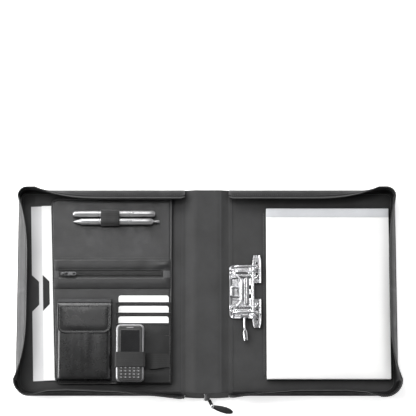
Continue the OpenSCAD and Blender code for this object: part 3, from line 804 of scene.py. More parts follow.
def handle():
    """Padded strap in two halves, with its tongues and keepers."""
    low, high = span("handle_strap")
    half_w = (high[0] - low[0]) / 2
    for end in (TOP, BOTTOM):
        strap = sweep("handle_strap_" + END_NAME[end], *strap_half(end, low, half_w), SMOOTH_LEATHER)
        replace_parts(strap, "handle_ends")
        seam = [[(s * (half_w - 2.6), end * y, low[2] + 0.55) for y in np.linspace(2, 56, 30)]
                for s in (-1, 1)]
        seam = stitches("handle_stitches_" + END_NAME[end], seam, up=(0, 0, -1))
        for piece in (strap, seam):
            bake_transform(piece)
        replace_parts(strap, "handle_strap")
        tongue(end)
    low, high = span("handle_keepers")
    w = high[0]
    line = rounded_path([(-w, 0, 6.2), (-w, 0, 0.8), (w, 0, 0.8), (w, 0, 6.2)], 4)
    for name, y in (("bottom", low[1]), ("top", high[1] - KEEPER_W)):
        band = ribbon("handle_keeper_" + name, line[:, [0, 2]], y, y + KEEPER_W, 1.2, SMOOTH_LEATHER, "spine")
        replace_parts(band, "handle_keepers")


def tongue(end):
    """Rounded tongue that carries one end of the strap, sewn all round."""
    low, high = span("handle_tongues")
    x0, x1, far = low[0], high[0], high[1]
    near = far - (x1 - x0)
    y0, y1 = sorted((end * near, end * far))
    r = (x1 - x0) / 2 - 0.5
    radii = (r, 2.5) if end == TOP else (2.5, r)
    steps = (0.15, 0.5, 1.2, 3, 6, 9, r)
    inset = inset_in(x0, x1, y0, y1)

    def under(x, y):
        return low[2] + 0.2 + drop(inset(x, y), 1.2) + 1.2 * ease(1 - inset(x, y) / 9)

    piece = slab("handle_tongue_" + END_NAME[end], lines(x0, x1, 8, steps), lines(y0, y1, 8, steps),
                 high[2] - 0.6, under, SMOOTH_LEATHER, "spine", warp=round_ends(x0, x1, y0, y1, *radii))
    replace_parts(piece, "handle_tongues")
    z, reach = low[2] + 0.95, r - 2.4
    arc = [(reach * math.cos(a), end * (near + r) - end * reach * math.sin(a), z)
           for a in np.radians(np.linspace(0, 180, 25))]
    line = [(arc[0][0], end * (far - 3), z), *arc, (arc[-1][0], end * (far - 3), z)]
    stitches("tongue_stitches_" + END_NAME[end], [line], "spine", up=(0, 0, -1), pitch=2.8)


handle()

# ---------- main zip slider and pull


SLIDER_WIDTHS = (3.2, 4.2, 4.8, 5, 5, 4.9, 4.7, 4.4, 4.2, 4.2, 4.4, 4.8, 5.2, 5.4)


def main_slider():
    """Slider body with the bail for its pull, and the zip's ends that run out from it."""
    low, high = span("zip_slider")
    path = [(0, y, 6.6) for y in np.linspace(low[1], high[1] - 0.2, len(SLIDER_WIDTHS))]
    body = sweep("main_zip_slider", path, [pillow(w, 2.4, 20) for w in SLIDER_WIDTHS], NICKEL, "spine")
    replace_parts(body, "zip_slider")
    y0, y1 = low[1] + 1, high[1] - 1.4
    bail = rounded_path([(0, y0, 4.4), (0, y0, 0.9), (0, y1, 0.9), (0, y1, 4.4)], 1.6)
    sweep("main_slider_bail", bail, circle(0.8, 10), NICKEL, "spine", up=(1, 0, 0))
    for side in (BACK, FRONT):
        tail = rounded_path([(side * 4, high[1] - 2.5, 7.4), (side * 18, high[1] - 2.8, 8.2),
                             (side * 37, high[1] - 1.5, 8.6)], 12, 8)
        tape = sweep(SIDE_NAME[side] + "_zip_tail", tail,
                     [(-4.4, -0.5), (4.4, -0.5), (4.4, 0.5), (-4.4, 0.5)], TAPE)
        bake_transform(tape)


def pull_thong(rivet):
    """Leather thong from the bail to the rivet that holds the tab."""
    pivot = JOINTS["thong_swing"]["pos_m"]
    path = rounded_path([(pivot[0] / MM + 2.9, pivot[1] / MM - 2.5, 2.7), (4.5, -188, 2.8),
                         (*rivet, 2.7), (rivet[0] + 1.6, rivet[1] - 2.6, 2.6)], 6, 8)
    flat = [(-2.8, -0.7), (-2.4, -1), (2.4, -1), (2.8, -0.7), (2.8, 0.7), (2.4, 1), (-2.4, 1), (-2.8, 0.7)]
    shares = np.interp(np.arange(len(path)), [0, 3], [0.35, 1])
    thong = sweep("pull_thong_leather", path, [[(a * share, b) for a, b in flat] for share in shares],
                  SMOOTH_LEATHER, "thong")
    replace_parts(thong, "pull_thong")
    head = [(0.2, 1.5), (3.4, 1.5), (3.7, 2.9), (4.3, 2.8), (4.8, 2.1), (5.0, 1.1), (5.05, 0.2)]
    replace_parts(turret("pull_rivet_head", head, rivet, "thong"), "pull_rivet")


def pull_tab(rivet):
    """Teardrop tab, sewn round its far end."""
    low, high = span("pull_tab")
    start = np.array(rivet)
    run = np.array([high[0] - 7, low[1] + 7]) - start
    reach = np.linalg.norm(run)
    way = run / reach
    across = np.array([-way[1], way[0]])
    loops = []
    for share in (1.0, 0.93, 0.75):
        ring = []
        for a in np.linspace(0, 2 * math.pi, 40, endpoint=False):
            big = 0.5 + 0.5 * math.cos(a)
            r = (3.2 + 4.1 * big) * share
            ring.append(start + way * (reach * big) + way * r * math.cos(a) + across * r * math.sin(a))
        loops.append(ring)
    heights = [(2, 0.35), (1, 0.1), (0, 0.6), (0, 1.5), (1, 2.1), (2, 2.3)]
    tab = rings("pull_tab_leather", [[(x, y, z) for x, y in loops[k]] for k, z in heights], SMOOTH_LEATHER,
                "tab")
    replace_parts(tab, "pull_tab")
    far_end = [*loops[2][27:], *loops[2][:14]]
    stitches("pull_tab_stitches", [[(*p, 2.15) for p in far_end]], "tab", pitch=2.4, size=(1.6, 0.5, 0.25))


def zip_pull():
    main_slider()
    low, high = span("pull_rivet")
    rivet = ((low[0] + high[0]) / 2, (low[1] + high[1]) / 2)
    pull_thong(rivet)
    pull_tab(rivet)


zip_pull()

# ---------- ring mechanism


PLATE_END = 78.5
# Shapes pressed into the ring plate: height, x0, x1, y0, y1, and how soft the edge is.
PRESSED = [*((0.9, 50, 76, c - 2.2, c + 2.2, 1.2) for c in (-34, -27, 27, 34)), (1.6, 41, 54, -9, 9, 1.4),
           (-0.9, 44.5, 54, -7, 7, 1.0), (0.9, 66, 70, -22, 24, 1.2), (0.7, 57, 62.5, -14, 14, 1.0)]
CRANK_REACH, CRANK_RISE = 13, 1.4
# The compressor bar's notch along Y, its inner edge from the posts, and where its ends start to taper.
NOTCH_LOW, NOTCH_HIGH, NOTCH_IN = -13, 15, 4.3
BAR_TAPER = 50


def ring_plate(low, high):
    """Pressed plate with a rim, ribs, a seat for the lever and two slots."""
    box = (low[0], PLATE_END, low[1], high[1])
    rim = inset_in(*box)

    def press(x, y):
        shapes = sum(h * ease(inset_in(*where)(x, y) / soft + 0.5) for h, *where, soft in PRESSED)
        return high[2] + 1.3 * ease(1 - rim(x, y) / 3.4) + shapes

    def keep(x, y):
        return ~((x > 71.5) & (x < 76) & (np.abs(np.abs(y) - 8) < 4))

    steps = (0.3, 1, 2, 4, 6, 8)
    pressed = slab("ring_plate_pressed", lines(*box[:2], 1.2, steps), lines(*box[2:], 1.2, steps),
                   lambda x, y: press(x, y) - 0.3, lambda x, y: press(x, y) - 1.2, CHROME, "back_cover",
                   keep=keep, warp=round_off(*box, 8, 2), sharp=60)
    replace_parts(pressed, "ring_plate")


def ring_mechanism():
    low, high = span("ring_plate")
    top = high[2]
    ring_plate(low, high)
    post_low, post_high = span("ring_posts")
    tip = post_high[2]
    post_x = (post_low[0] + post_high[0]) / 2
    ring_y = (post_high[1] - post_low[1]) / 2 - (post_high[0] - post_low[0]) / 2
    for end in (BOTTOM, TOP):
        tag, y = END_NAME[end], end * ring_y
        plate(f"post_tab_{tag}", ((PLATE_END - 2, y - 7, low[2]), (post_x + 5, y + 7, top)), CHROME,
              "back_cover", (0, 3), edge=0.4, step=3)
        profile = [(top, 3.4), (top + 0.7, 3.4), (top + 1.0, 2.3),
                   (tip - 1.6, 2.2), (tip - 0.5, 1.9), (tip, 1.5)]
        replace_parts(turret(f"ring_post_{tag}", profile, (post_x, y), "back_cover"), "ring_posts")
    arch(post_x, ring_y, tip + 0.4)
    bar(post_x, ring_y)
    lever()
    finish_cad(["plate_rivets", "arch_bearings", "lever_bracket", "lever_pin"], CHROME)


def arch(post_x, ring_y, tip):
    """One bent wire: two arches joined by an axle with a crank, and the spring round it."""
    axis = JOINTS["arch_swing"]["pos_m"]
    leg_x, axle_z = axis[0] / MM, axis[2] / MM
    top = span("ring_arches")[1][2] - 1.5
    crank_x, crank_z = leg_x + CRANK_REACH, axle_z + CRANK_RISE
    outline = [(post_x, tip), (post_x, top), (leg_x, top), (leg_x, axle_z)]
    upper, lower = (rounded_path([(x, y, z) for x, z in outline], 9, 9) for y in (ring_y, -ring_y))
    middle = [(leg_x, 31, axle_z), (crank_x, 20, crank_z), (crank_x, -17, crank_z), (leg_x, -31, axle_z)]
    joint = rounded_path([upper[-1], *middle, lower[-1]], 3.5, 5)
    path = np.concatenate([upper[:-1], joint, lower[::-1][1:]])
    wire = sweep("ring_wire", path, circle(1.5, 14), CHROME, "arches", up=(0, 1, 0))
    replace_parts(wire, "ring_arches")
    coil = [(crank_x + 2.5 * math.cos(t), -6 + 1.9 * t / math.pi, crank_z + 2.5 * math.sin(t))
            for t in np.linspace(0, 5 * 2 * math.pi, 90)]
    sweep("ring_spring", coil, circle(0.45, 6), CHROME, "arches", up=(0, 1, 0))


def bar(post_x, ring_y):
    """Compressor bar: a long plate with a raised rib, holes for the posts and a notch at mid length."""
    low, high = span("compressor_bar")
    inset = inset_in(*plan(low, high))

    def warp(x, y):
        taper = np.clip((np.abs(y) - BAR_TAPER) / (high[1] - BAR_TAPER), 0, 1) ** 1.6
        return post_x + (x - post_x) * (1 - 0.3 * taper), y

    def keep(x, y):
        gone = (y > NOTCH_LOW) & (y < NOTCH_HIGH) & (x > post_x - NOTCH_IN)
        for hole_y in (-ring_y, ring_y):
            for shift, wide, long in ((0, 3.5, 4.4), (-9, 1.6, 2.2), (9, 1.6, 2.2)):
                gone |= ((x - post_x) / wide) ** 2 + ((y - hole_y - shift) / long) ** 2 < 1
        return ~gone

    def top(x, y):
        rib = 0.8 * ease((np.abs(x - post_x) - 4.6) / 1.2)
        across, along = x - post_x, np.abs(y) - (ring_y - 15)
        cross = 0.6 * bell(np.abs(across) - np.abs(along), 0, 0.7) * (np.hypot(across, along) < 4.2)
        return high[2] - 0.6 + rib + cross - drop(inset(x, y), 0.5)

    made = slab("compressor_plate", lines(low[0], high[0], 0.8, (0.15, 0.5)),
                lines(low[1], high[1], 0.8, (0.2, 0.6)), top, lambda x, y: top(x, y) - 1.3, CHROME,
                "compressor", keep=keep, warp=warp, sharp=55)
    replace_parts(made, "compressor_bar")


def lever():
    """Bent lever with a flattened thumb end, on its hub."""
    foot = span("lever")[0][1]
    x, y, z = (v / MM for v in JOINTS["lever_lift"]["pos_m"])
    path = rounded_path([(x, y, z), (x, y - 20, z - 0.4), (x + 0.8, foot + 18, z + 0.6),
                         (x + 2.6, foot + 0.4, z + 0.2)], 10, 8)
    run = np.concatenate([[0], np.cumsum(np.linalg.norm(np.diff(path, axis=0), axis=1))])
    sections = []
    for t in run / run[-1]:
        blade = float(ease((t - 0.5) / 0.28)) * (1 - 0.55 * float(ease((t - 0.88) / 0.12)))
        sections.append(circle(1, 18) * (1.7 + 3.4 * blade, 1.7 - 0.75 * blade))
    arm = sweep("lever_arm", path, sections, CHROME, "lever_body")
    profile = [(x - 3.9, 2.4), (x - 3.6, 3.1), (x + 3.6, 3.1), (x + 3.9, 2.4)]
    lathe("lever_hub", profile, (y, z), CHROME, "lever_body")
    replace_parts(arm, "lever")


ring_mechanism()

# ---------- writing pad


SHEET_COUNT = 7
# The top sheet's far corner curls up: its height, how far in it starts, and over what length it fades.
CURL, CURL_IN, CURL_FADE, CURL_MARGIN = 1.5, 46, 160, 30


def writing_pad():
    low, high = span("pad_sheets")
    thick = (high[2] - low[2]) / SHEET_COUNT

    def curl(x, y):
        along_y = ease((high[1] - CURL_MARGIN - y) / CURL_FADE) * ease((y - low[1]) / CURL_MARGIN)
        return CURL * ease((x - high[0] + CURL_IN) / CURL_IN) * along_y

    for k in range(SHEET_COUNT):
        shift = 0.35 * math.sin(k * 2.3)
        z0 = low[2] + k * thick
        box = ((low[0] + shift * 0.5, low[1] + shift, z0 + 0.02),
               (high[0] + shift, high[1], z0 + thick - 0.04))
        rise = curl if k == SHEET_COUNT - 1 else lambda x, y: 0 * x
        sheet = plate(f"pad_sheet_{k}", box, WHITE_PAPER, "back_cover", edge=0.12, step=16, rise=rise)
        if k == 0:
            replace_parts(sheet, "pad_sheets")
    low, high = span("pad_header")
    tape, _ = (plate(name, (foot, high), GREY_TAPE, "back_cover", edge=0.15, step=10)
               for name, foot in (("pad_head_tape", (*low[:2], high[2] - 0.4)),
                                  ("pad_head_end", (low[0], high[1] - 0.4, low[2]))))
    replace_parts(tape, "pad_header")
    finish_cad(["pad_backing"], BOARD)
    low, high = span("pad_flap")
    flap = plate("pad_flap_leather", (low, high), LINING, "back_cover", (2, 2), edge=0.4, step=8,
                 rise=ripples(0.1, 14, 4))
    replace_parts(flap, "pad_flap")
    seams = [[(low[0] + d, y, high[2]) for y in np.linspace(low[1] + 2, high[1] - 2, 60)] for d in (1.8, 4.6)]
    stitches("pad_flap_stitches", seams, "back_cover")


writing_pad()

# ---------- organizer

PANEL_LOW, PANEL_HIGH = span("organizer_panel")
PANEL_TOP = PANEL_HIGH[2]
PANEL_T = 1.6
PANEL_SLANT = 11
PANEL_FOOT_X = -84


def slanted(x, y):
    """The organizer's free edge runs in towards its foot."""
    (x0, y0), (x1, y1) = PANEL_LOW[:2], PANEL_HIGH[:2]
    return x + PANEL_SLANT * (y1 - y) / (y1 - y0) * (x1 - x) / (x1 - x0)


def organizer():
    x0, x1, y0, y1 = box = plan(PANEL_LOW, PANEL_HIGH)
    radii = (13, 2)
    edge = 0.7
    inset = inset_in(*box)
    swell = ripples(0.22, 19, 1)

    def top(x, y):
        groove = 0.55 * bell(inset(x, y), 2.6, 0.7)
        return PANEL_TOP - drop(inset(x, y), edge) + swell(x, y) * np.clip(inset(x, y) / 6, 0, 1) - groove

    def warp(x, y):
        px, py = round_off(*box, *radii)(x, y)
        return slanted(px, py), py

    steps = (*edge_steps(edge), 1.5, 2.1, 2.6, 3.1, 3.8, 6, 9.5, 13)
    sheet = slab("organizer_sheet", lines(x0, x1, 7, steps), lines(y0, y1, 7, steps), top,
                 PANEL_TOP - PANEL_T, PANEL_LEATHER, "front_cover", warp=warp)
    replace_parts(sheet, "organizer_panel")
    foot = ((PANEL_FOOT_X, y0 + 4, PANEL_LOW[2]), (x1 - 2, y1 - 4, PANEL_TOP - PANEL_T))
    plate("organizer_foot", foot, LEATHER, "front_cover", edge=0.3, step=20)
    z = PANEL_TOP + 0.05
    facing = span("pocket_facing")
    seams = [[(x, y, z) for x in np.linspace(x0 + 3, x1 - 3, 60)]
             for y in (facing[1][1] + 3.5, facing[0][1] - 1.5)]
    seams = [[(slanted(x, y), y, z) for x, y, z in seam]
             for seam in [*outline_path(*box, z, radii, 2.6), *seams]]
    stitches("organizer_stitches", seams, "front_cover")
    folders()
    finish_cad(["upper_folder", "cards"], WHITE_PAPER)


FOLDER_TURN = math.radians(1.6)
FOLDER_X, FOLDER_HALF = -200, 152.5
FOLDER_EDGE, DIVIDER_EDGE, FOLDER_END = -299, -280.4, -100
# Thumb notch in the card's free edge: half width, width of each slope, depth, and how far in it fades.
NOTCH_HALF, NOTCH_SLOPE, NOTCH_DEPTH, NOTCH_FADE = 32, 12, 12, 40


def turned(x, y):
    x = x - FOLDER_X
    return (FOLDER_X + x * math.cos(FOLDER_TURN) - y * math.sin(FOLDER_TURN),
            x * math.sin(FOLDER_TURN) + y * math.cos(FOLDER_TURN))


def notched(x, y):
    depth = NOTCH_DEPTH * np.clip((NOTCH_HALF - np.abs(y)) / NOTCH_SLOPE, 0, 1)
    return turned(x + depth * np.clip(1 - (x - FOLDER_EDGE) / NOTCH_FADE, 0, 1), y)


def folders():
    """Pale card behind, dark card between, and the white folder in front, all lying a little turned."""
    z0, z1 = (corner[2] for corner in span("lower_folder"))
    steps = (0.1, 0.3)
    corners = [s * v for s in (-1, 1) for v in (NOTCH_HALF, NOTCH_HALF - NOTCH_SLOPE)]
    ys = np.unique(np.concatenate([lines(-FOLDER_HALF, FOLDER_HALF, 15, steps), corners]))
    card = slab("lower_folder_card", lines(FOLDER_EDGE, FOLDER_END, 12, steps), ys, z0 + 0.45, z0, GREY_CARD,
                "front_cover", warp=notched)
    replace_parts(card, "lower_folder")
    ys = lines(2 - FOLDER_HALF, FOLDER_HALF - 2, 15, steps)
    slab("folder_divider", lines(DIVIDER_EDGE, FOLDER_END - 1, 12, steps), ys, z1 - 0.03, z1 - 0.35,
         DARK_CARD, "front_cover", warp=turned)


COIL_PITCH = 1.3


def zip_pocket():
    """Leather facing with a window for the zip, its tape, teeth and pull."""
    low, high = span("pocket_facing")
    zip_low, zip_high = span("pocket_zip")
    x0, x1, y0, y1 = hole = plan(zip_low, zip_high)
    around, window = inset_in(*plan(low, high)), inset_in(*hole)

    def top(x, y):
        beside = np.hypot(np.clip(x0 - x, 0, None) + np.clip(x - x1, 0, None),
                          np.clip(y0 - y, 0, None) + np.clip(y - y1, 0, None))
        puff = 0.8 * ease(beside / 7) * ease(around(x, y) / 9)
        pucker = 1.1 * bell(y, high[1] - 9, 3) * ease((x + 96) / 26) * ease((high[0] - x) / 4)
        gather = 0.2 * np.sin(x / 7 + 0.5 * np.sin(x / 19)) * ease((y - y1) / 6)
        return high[2] + puff + pucker + gather - drop(around(x, y), 0.5) - drop(-window(x, y), 0.5)

    def keep(x, y):
        return ~((x > x0) & (x < x1) & (y > y0) & (y < y1))

    steps = (0.1, 0.5)
    xs = [lines(low[0], x0, 6, steps), lines(x0, x1, 5), lines(x1, high[0], 3, steps)]
    ys = [lines(low[1], y0, 3, steps), [y0, y1], lines(y1, high[1], 2, steps)]
    facing = slab("pocket_facing_leather", np.unique(np.concatenate(xs)), np.unique(np.concatenate(ys)), top,
                  low[2], LEATHER, "front_cover", keep=keep)
    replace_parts(facing, "pocket_facing")
    seam = outline_path(*hole, high[2] + 0.25, (0.6, 0.6), -2.0)
    stitches("pocket_window_stitches", seam, "front_cover", pitch=2.8)
    tape_top = zip_low[2] + 0.5
    tape = plate("pocket_tape", ((x0 - 1, y0 - 1, zip_low[2] + 0.02), (x1 + 1, y1 + 1, tape_top)), TAPE,
                 "front_cover", edge=0.1, step=12)
    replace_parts(tape, "pocket_zip")
    mid = (y0 + y1) / 2
    places = [(np.array([x, mid, tape_top]), *np.eye(3)) for x in np.arange(x0 + 3, x1 - 3, COIL_PITCH)]
    blocks("pocket_coil", places, (0.42, 2.3, 0), (0.34, 1.7, 1.0), "front_cover")
    pocket_pull(mid)


def pocket_pull(mid):
    low, high = span("pocket_slider")
    widths = (2.2, 3.0, 3.5, 3.6, 3.5, 3.3, 3.1, 3.0, 3.2, 3.3)
    path = [(x, mid, low[2] + 0.8) for x in np.linspace(low[0], high[0], len(widths))]
    body = sweep("pocket_slider_body", path, [pillow(w, 0.85, 16) for w in widths], NICKEL, "slider")
    loop = rounded_path([(low[0] + 2, mid, low[2] + 1.2), (low[0] + 2.4, mid, high[2]),
                         (high[0] - 0.6, mid, high[2]), (high[0] - 0.2, mid, low[2] + 1.2)], 1.6)
    sweep("pocket_slider_loop", loop, circle(0.7, 8), NICKEL, "slider", up=(0, 1, 0))
    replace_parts(body, "pocket_slider")
    low, high = span("pocket_puller")
    box = plan(low, high)
    inset = inset_in(*box)

    def keep(x, y):
        bail = (x > low[0] + 1.6) & (x < low[0] + 5.5) & (np.abs(y - mid) < 1.9)
        end = (x > high[0] - 6.5) & (x < high[0] - 2.2) & (np.abs(y - mid) < 1.3)
        return ~(bail | end)

    z, steps = (low[2] + high[2]) / 2, (0.1, 0.4)
    puller = slab("pocket_puller_plate", lines(*box[:2], 0.6, steps), lines(*box[2:], 0.6, steps),
                  lambda x, y: z + 0.6 - drop(inset(x, y), 0.4),
                  lambda x, y: z - 0.5 + drop(inset(x, y), 0.3),
                  NICKEL, "puller", keep=keep, warp=round_off(*box, 1.6, 3))
    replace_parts(puller, "pocket_puller")


POUCH_WALL = 1.3


def pouch():
    """Soft pouch with rounded sides, hollow and open at its top end, and its flap."""
    (x0, y0, z0), (x1, y1, z1) = span("pouch")
    stations = [(0.0, 0.72), (0.8, 0.9), (2.2, 0.98), (5, 1), *((d, 1) for d in np.linspace(14, y1 - y0, 16))]

    def loop(along, size, inset):
        y = y0 + along
        half = (x1 - x0) / 2 - inset - 3 * (1 - size)
        height = (z1 - z0) - 2 * inset
        belly = 1.5 * math.sin(math.pi * min(along / (y1 - y0), 1)) if inset == 0 else 0.4
        points = []
        for t in np.linspace(-1, 1, 25):
            shoulder = max(abs(t) - 0.9, 0) / 0.1
            top = z0 + inset + height * size - 2.4 * (1 - math.sqrt(max(1 - shoulder**2, 0)))
            sag = 0.45 * math.sin(t * 11 + 0.9 * math.sin(along / 31)) * (1 - abs(t))
            swell = belly * (1 - t * t) + sag if inset == 0 else -0.2
            points.append(((x0 + x1) / 2 + half * t, y, top + swell))
        points += [((x0 + x1) / 2 + half * t, y, z0 + inset + 0.02) for t in np.linspace(1, -1, 13)]
        return points

    outer = [loop(a, s, 0) for a, s in stations]
    inner = [loop(a, 1, POUCH_WALL) for a, _ in reversed(stations) if a > POUCH_WALL]
    body = rings("pouch_leather", outer + inner, PATENT, "front_cover", sharp=60)
    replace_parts(body, "pouch")
    side_seams = [[(x, y, z0 + 0.9) for y in np.linspace(y0 + 4, y1 - 4, 40)] for x in (x0 - 1.3, x1 + 1.3)]
    stitches("pouch_side_stitches", side_seams, "front_cover", pitch=2.8)
    for k, x in enumerate((x0 - 2.2, x1 - 0.2)):
        plate(f"pouch_welt_{k}", ((x, y0 - 1, z0), (x + 2.4, y1, z0 + 0.9)), SMOOTH_LEATHER, "front_cover",
              edge=0.4, step=16)
    flap(y1)


def flap(hinge_y):
    """Pouch flap with a piped rim, and the soft leather it hangs from."""
    low, high = span("pouch_flap")
    z0 = high[2] - 1.8
    y0, y1 = low[1] - 4, hinge_y - 5.0
    inset = inset_in(low[0] - 0.5, high[0] + 0.5, y0, y1)

    def top(x, y):
        piping = 0.7 * bell(inset(x, y), 1.4, 0.9) * (y < y1 - 3)
        belly = 1.1 * ease(inset(x, y) / 12)
        back = -1.6 * ease((y - y1 + 9) / 9) ** 2
        return z0 + 1.5 + piping + belly + back - drop(inset(x, y), 1.0)

    steps = (0.12, 0.5, 1, 1.4, 2, 3, 4.5, 6.5, 9.5, 14)
    sheet = slab("pouch_flap_leather", lines(low[0], high[0], 5, steps), lines(y0, y1, 4, steps), top,
                 lambda x, y: top(x, y) - 1.5, PATENT, "flap",
                 warp=round_ends(low[0], high[0], y0, y1, 14, 0.8))
    line = [(low[0] + 4, y1 - 4), (low[0] + 4, y0 + 4), (high[0] - 4, y0 + 4), (high[0] - 4, y1 - 4)]
    seam = rounded_path([(x, y, z0 + 1.9) for x, y in line], 9, 9)
    stitches("pouch_flap_stitches", [seam], "flap", pitch=2.8)
    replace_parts(sheet, "pouch_flap")
    foot = PANEL_TOP
    bend = [(3.4, foot + 0.7), (2.6, foot + 1.0), (1.6, foot + 3), (0.6, z0 - 5), (-1.2, z0 - 1.6),
            (-3.2, z0 - 0.1), (-5.6, z0 + 0.5)]
    left, right = low[0] + 1, high[0] - 1
    loops = []
    for reach, z in bend:
        y = hinge_y + reach
        loops.append([(left, y, z), (right, y, z), (right, y + 0.9, z + 0.7), (left, y + 0.9, z + 0.7)])
    # Painted shade: the soft leather behind the flap takes the darkest leather copy.
    back = rings("pouch_flap_back", loops, DEEP_SHADE_LEATHER)
    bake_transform(back)
    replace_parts(back, "flap_back")


SLOT_STEP, SLOT_PITCH = 1.3, 18.5
# Where the two upper strips end, under the one in front of them.
SLOT_FEET = (-65, -83)


def card_slots():
    """Three stepped slot strips; the lowest is the pocket under the phone."""
    low, high = span("card_slots")
    tops = [high[1] - SLOT_PITCH * k for k in range(3)]
    for k, y0 in enumerate((*SLOT_FEET, low[1])):
        card_slot(k, low, high, y0, tops[k])
    z = PANEL_TOP + 3 * SLOT_STEP
    ends = [[(x, y, z + 0.1) for y in np.linspace(low[1] + 2, tops[2], 40)]
            for x in (low[0] + 1.6, high[0] - 1.6)]
    cross = [[(x, tops[2] - 22, z + 0.35) for x in np.linspace(phone_right() + 2, high[0] - 3, 16)]]
    stitches("card_slot_seams", ends + cross, "front_cover", pitch=2.8)


def card_slot(k, low, high, y0, y1):
    z1 = PANEL_TOP + (k + 1) * SLOT_STEP
    inset = inset_in(low[0], high[0], y0, y1)

    def top(x, y):
        hem = 0.35 * bell(y, y1 - 1.2, 1.0)
        slack = (0.5 if k == 2 else 0.15) * ease(inset(x, y) / 14) * (1 + 0.5 * np.sin(x / 13 + y / 17))
        return z1 - drop(inset(x, y), 0.25) + hem + slack

    strip = slab(f"card_slot_{k}", lines(low[0], high[0], 6, (0.1, 0.4, 1.5)),
                 lines(y0, y1, 5, (0.1, 0.4, 1.2, 2.2, 3.5)), top, z1 - 0.5, SMOOTH_LEATHER, "front_cover")
    if k == 0:
        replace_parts(strip, "card_slots")
    edge = [(x, y1 - 3.0, z1 + 0.1) for x in np.linspace(low[0] + 2, high[0] - 2, 30)]
    stitches(f"card_slot_stitches_{k}", [edge], "front_cover", pitch=2.8)
    for n, x in enumerate((low[0], high[0] - 3)):
        plate(f"card_slot_side_{k}_{n}", ((x, y0 + 0.5, z1 - SLOT_STEP), (x + 3, y1 - 0.5, z1 - 0.5)),
              SMOOTH_LEATHER, "front_cover", edge=0.2, step=20)


def phone_right():
    return span("phone_case")[1][0]


def pen_barrel(tag, body, tip, r, z):
    """Turned barrel with two grooves; gives back where its tail end and its middle line are."""
    low, high = span(tag + "_pen")
    y = (low[1] + high[1]) / 2
    neck = [(44, -0.1), (44.5, -0.55), (45.5, -0.55), (46, -0.05), (70, 0)]
    tail = [(44, 0), (43.6, -0.5), (42.4, -0.5), (42, 0), (6, -0.1), (2.5, -0.7), (0.8, -1.6), (0, -2.6)]
    profile = [(low[0] + d, w) for d, w in tip] + [(low[0] + d, r + w) for d, w in neck]
    profile += [(high[0] - d, r + w) for d, w in tail]
    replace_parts(lathe(tag + "_pen_barrel", profile, (y, z), BRUSHED, body), tag + "_pen")
    return high[0], y


def pen_clip(tag, body, end, y, top):
    bow = [(2, -1.6), (3, 1.2), (8, 2.0), (20, 1.6), (32, 0.9), (37, 0.6), (39, 1.4)]
    path = rounded_path([(end - d, y, top + h) for d, h in bow], 3, 5)
    sections = [[(-w, -0.35), (-w * 0.8, 0.35), (w * 0.8, 0.35), (w, -0.35)]
                for w in np.linspace(2.3, 1.5, len(path))]
    sweep(tag + "_pen_clip", path, sections, BRUSHED, body)


def pens():
    """Two metal pens in the elastic loop, one with a button and one with a slot near its tip."""
    low, high = span("upper_pen")
    r = (high[1] - low[1]) / 2
    z = low[2] + r
    blunt = [(0, 0.4), (0.5, 2.6), (1.6, 3.6), (4, r - 0.9), (14, r - 0.3)]
    pen_clip("upper", "pen_a", *pen_barrel("upper", "pen_a", blunt, r, z), z + r)
    pointed = [(0, 0.35), (1.6, 0.6), (2.0, 1.1), (8, 3.1), (14, r - 0.9), (15, r - 0.5)]
    end, y = pen_barrel("lower", "pen_b", pointed, r, z)
    x0 = span("lower_pen")[0][0]
    slot = ((x0 + 58, y - 0.7, z + r - 1.2), (x0 + 67, y + 0.7, z + r + 0.1))
    plate("lower_pen_slot", slot, DARK_PLASTIC, "pen_b", (0.6, 0.6), edge=0.2, step=2)
    pen_clip("lower", "pen_b", end, y, z + r)
    low, high = span("pen_button")
    middle = ((low[1] + high[1]) / 2, (low[2] + high[2]) / 2)
    knob = [(low[0], 1.9), (low[0] + 5.6, 1.9), (low[0] + 6, 2.25), (high[0] - 1, 2.25), (high[0] - 0.3, 1.9),
            (high[0], 1.2)]
    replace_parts(lathe("pen_button_cap", knob, middle, BRUSHED, "button"), "pen_button")


def pen_loop():
    """Elastic band round both pens, drawn in a little between them."""
    (x0, y0, z0), (x1, y1, z1) = span("pen_loop")
    r, mid = (z1 - z0) / 2, (z0 + z1) / 2
    reach = r - 0.5
    low_y, high_y = y0 + r, y1 - r
    line = []
    for y, turn in ((low_y, 180), (high_y, 0)):
        for a in np.radians(np.linspace(turn - 90, turn + 90, 15)):
            line.append((y + reach * math.cos(a), mid + reach * math.sin(a)))
    for t in (0.75, 0.5, 0.25):
        line.append((low_y + (high_y - low_y) * t, mid + reach - 0.5 * math.sin(math.pi * t)))
    rim = [(0, 0.2), (0.6, 0.5), (8, 0.5)]
    across = [*((x0 + d, t) for d, t in rim), ((x0 + x1) / 2, 0.5), *((x1 - d, t) for d, t in rim[::-1])]
    loops = []
    for y, z in line:
        out = np.array([y - min(max(y, low_y), high_y), z - mid])
        out = out / max(np.linalg.norm(out), 1e-6)
        outer = [(x, y + out[0] * t, z + out[1] * t) for x, t in across]
        inner = [(x, y - out[0] * t, z - out[1] * t) for x, t in reversed(across)]
        loops.append(outer + inner)
    band = rings("pen_loop_elastic", loops, ELASTIC, "front_cover", closed=True)
    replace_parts(band, "pen_loop")


KEY_W, KEY_H = 6.4, 4.3
KEY_GAP_X, KEY_GAP_Y = 0.9, 1.1
KEY_GRID = [(row, col) for row in range(5) for col in range(5)]


def phone_part(name, xs, ys, zs, material, radius, edge, step):
    return plate("phone_" + name, tuple(zip(xs, ys, zs)), material, "phone", (radius,) * 2, edge=edge,
                 step=step)


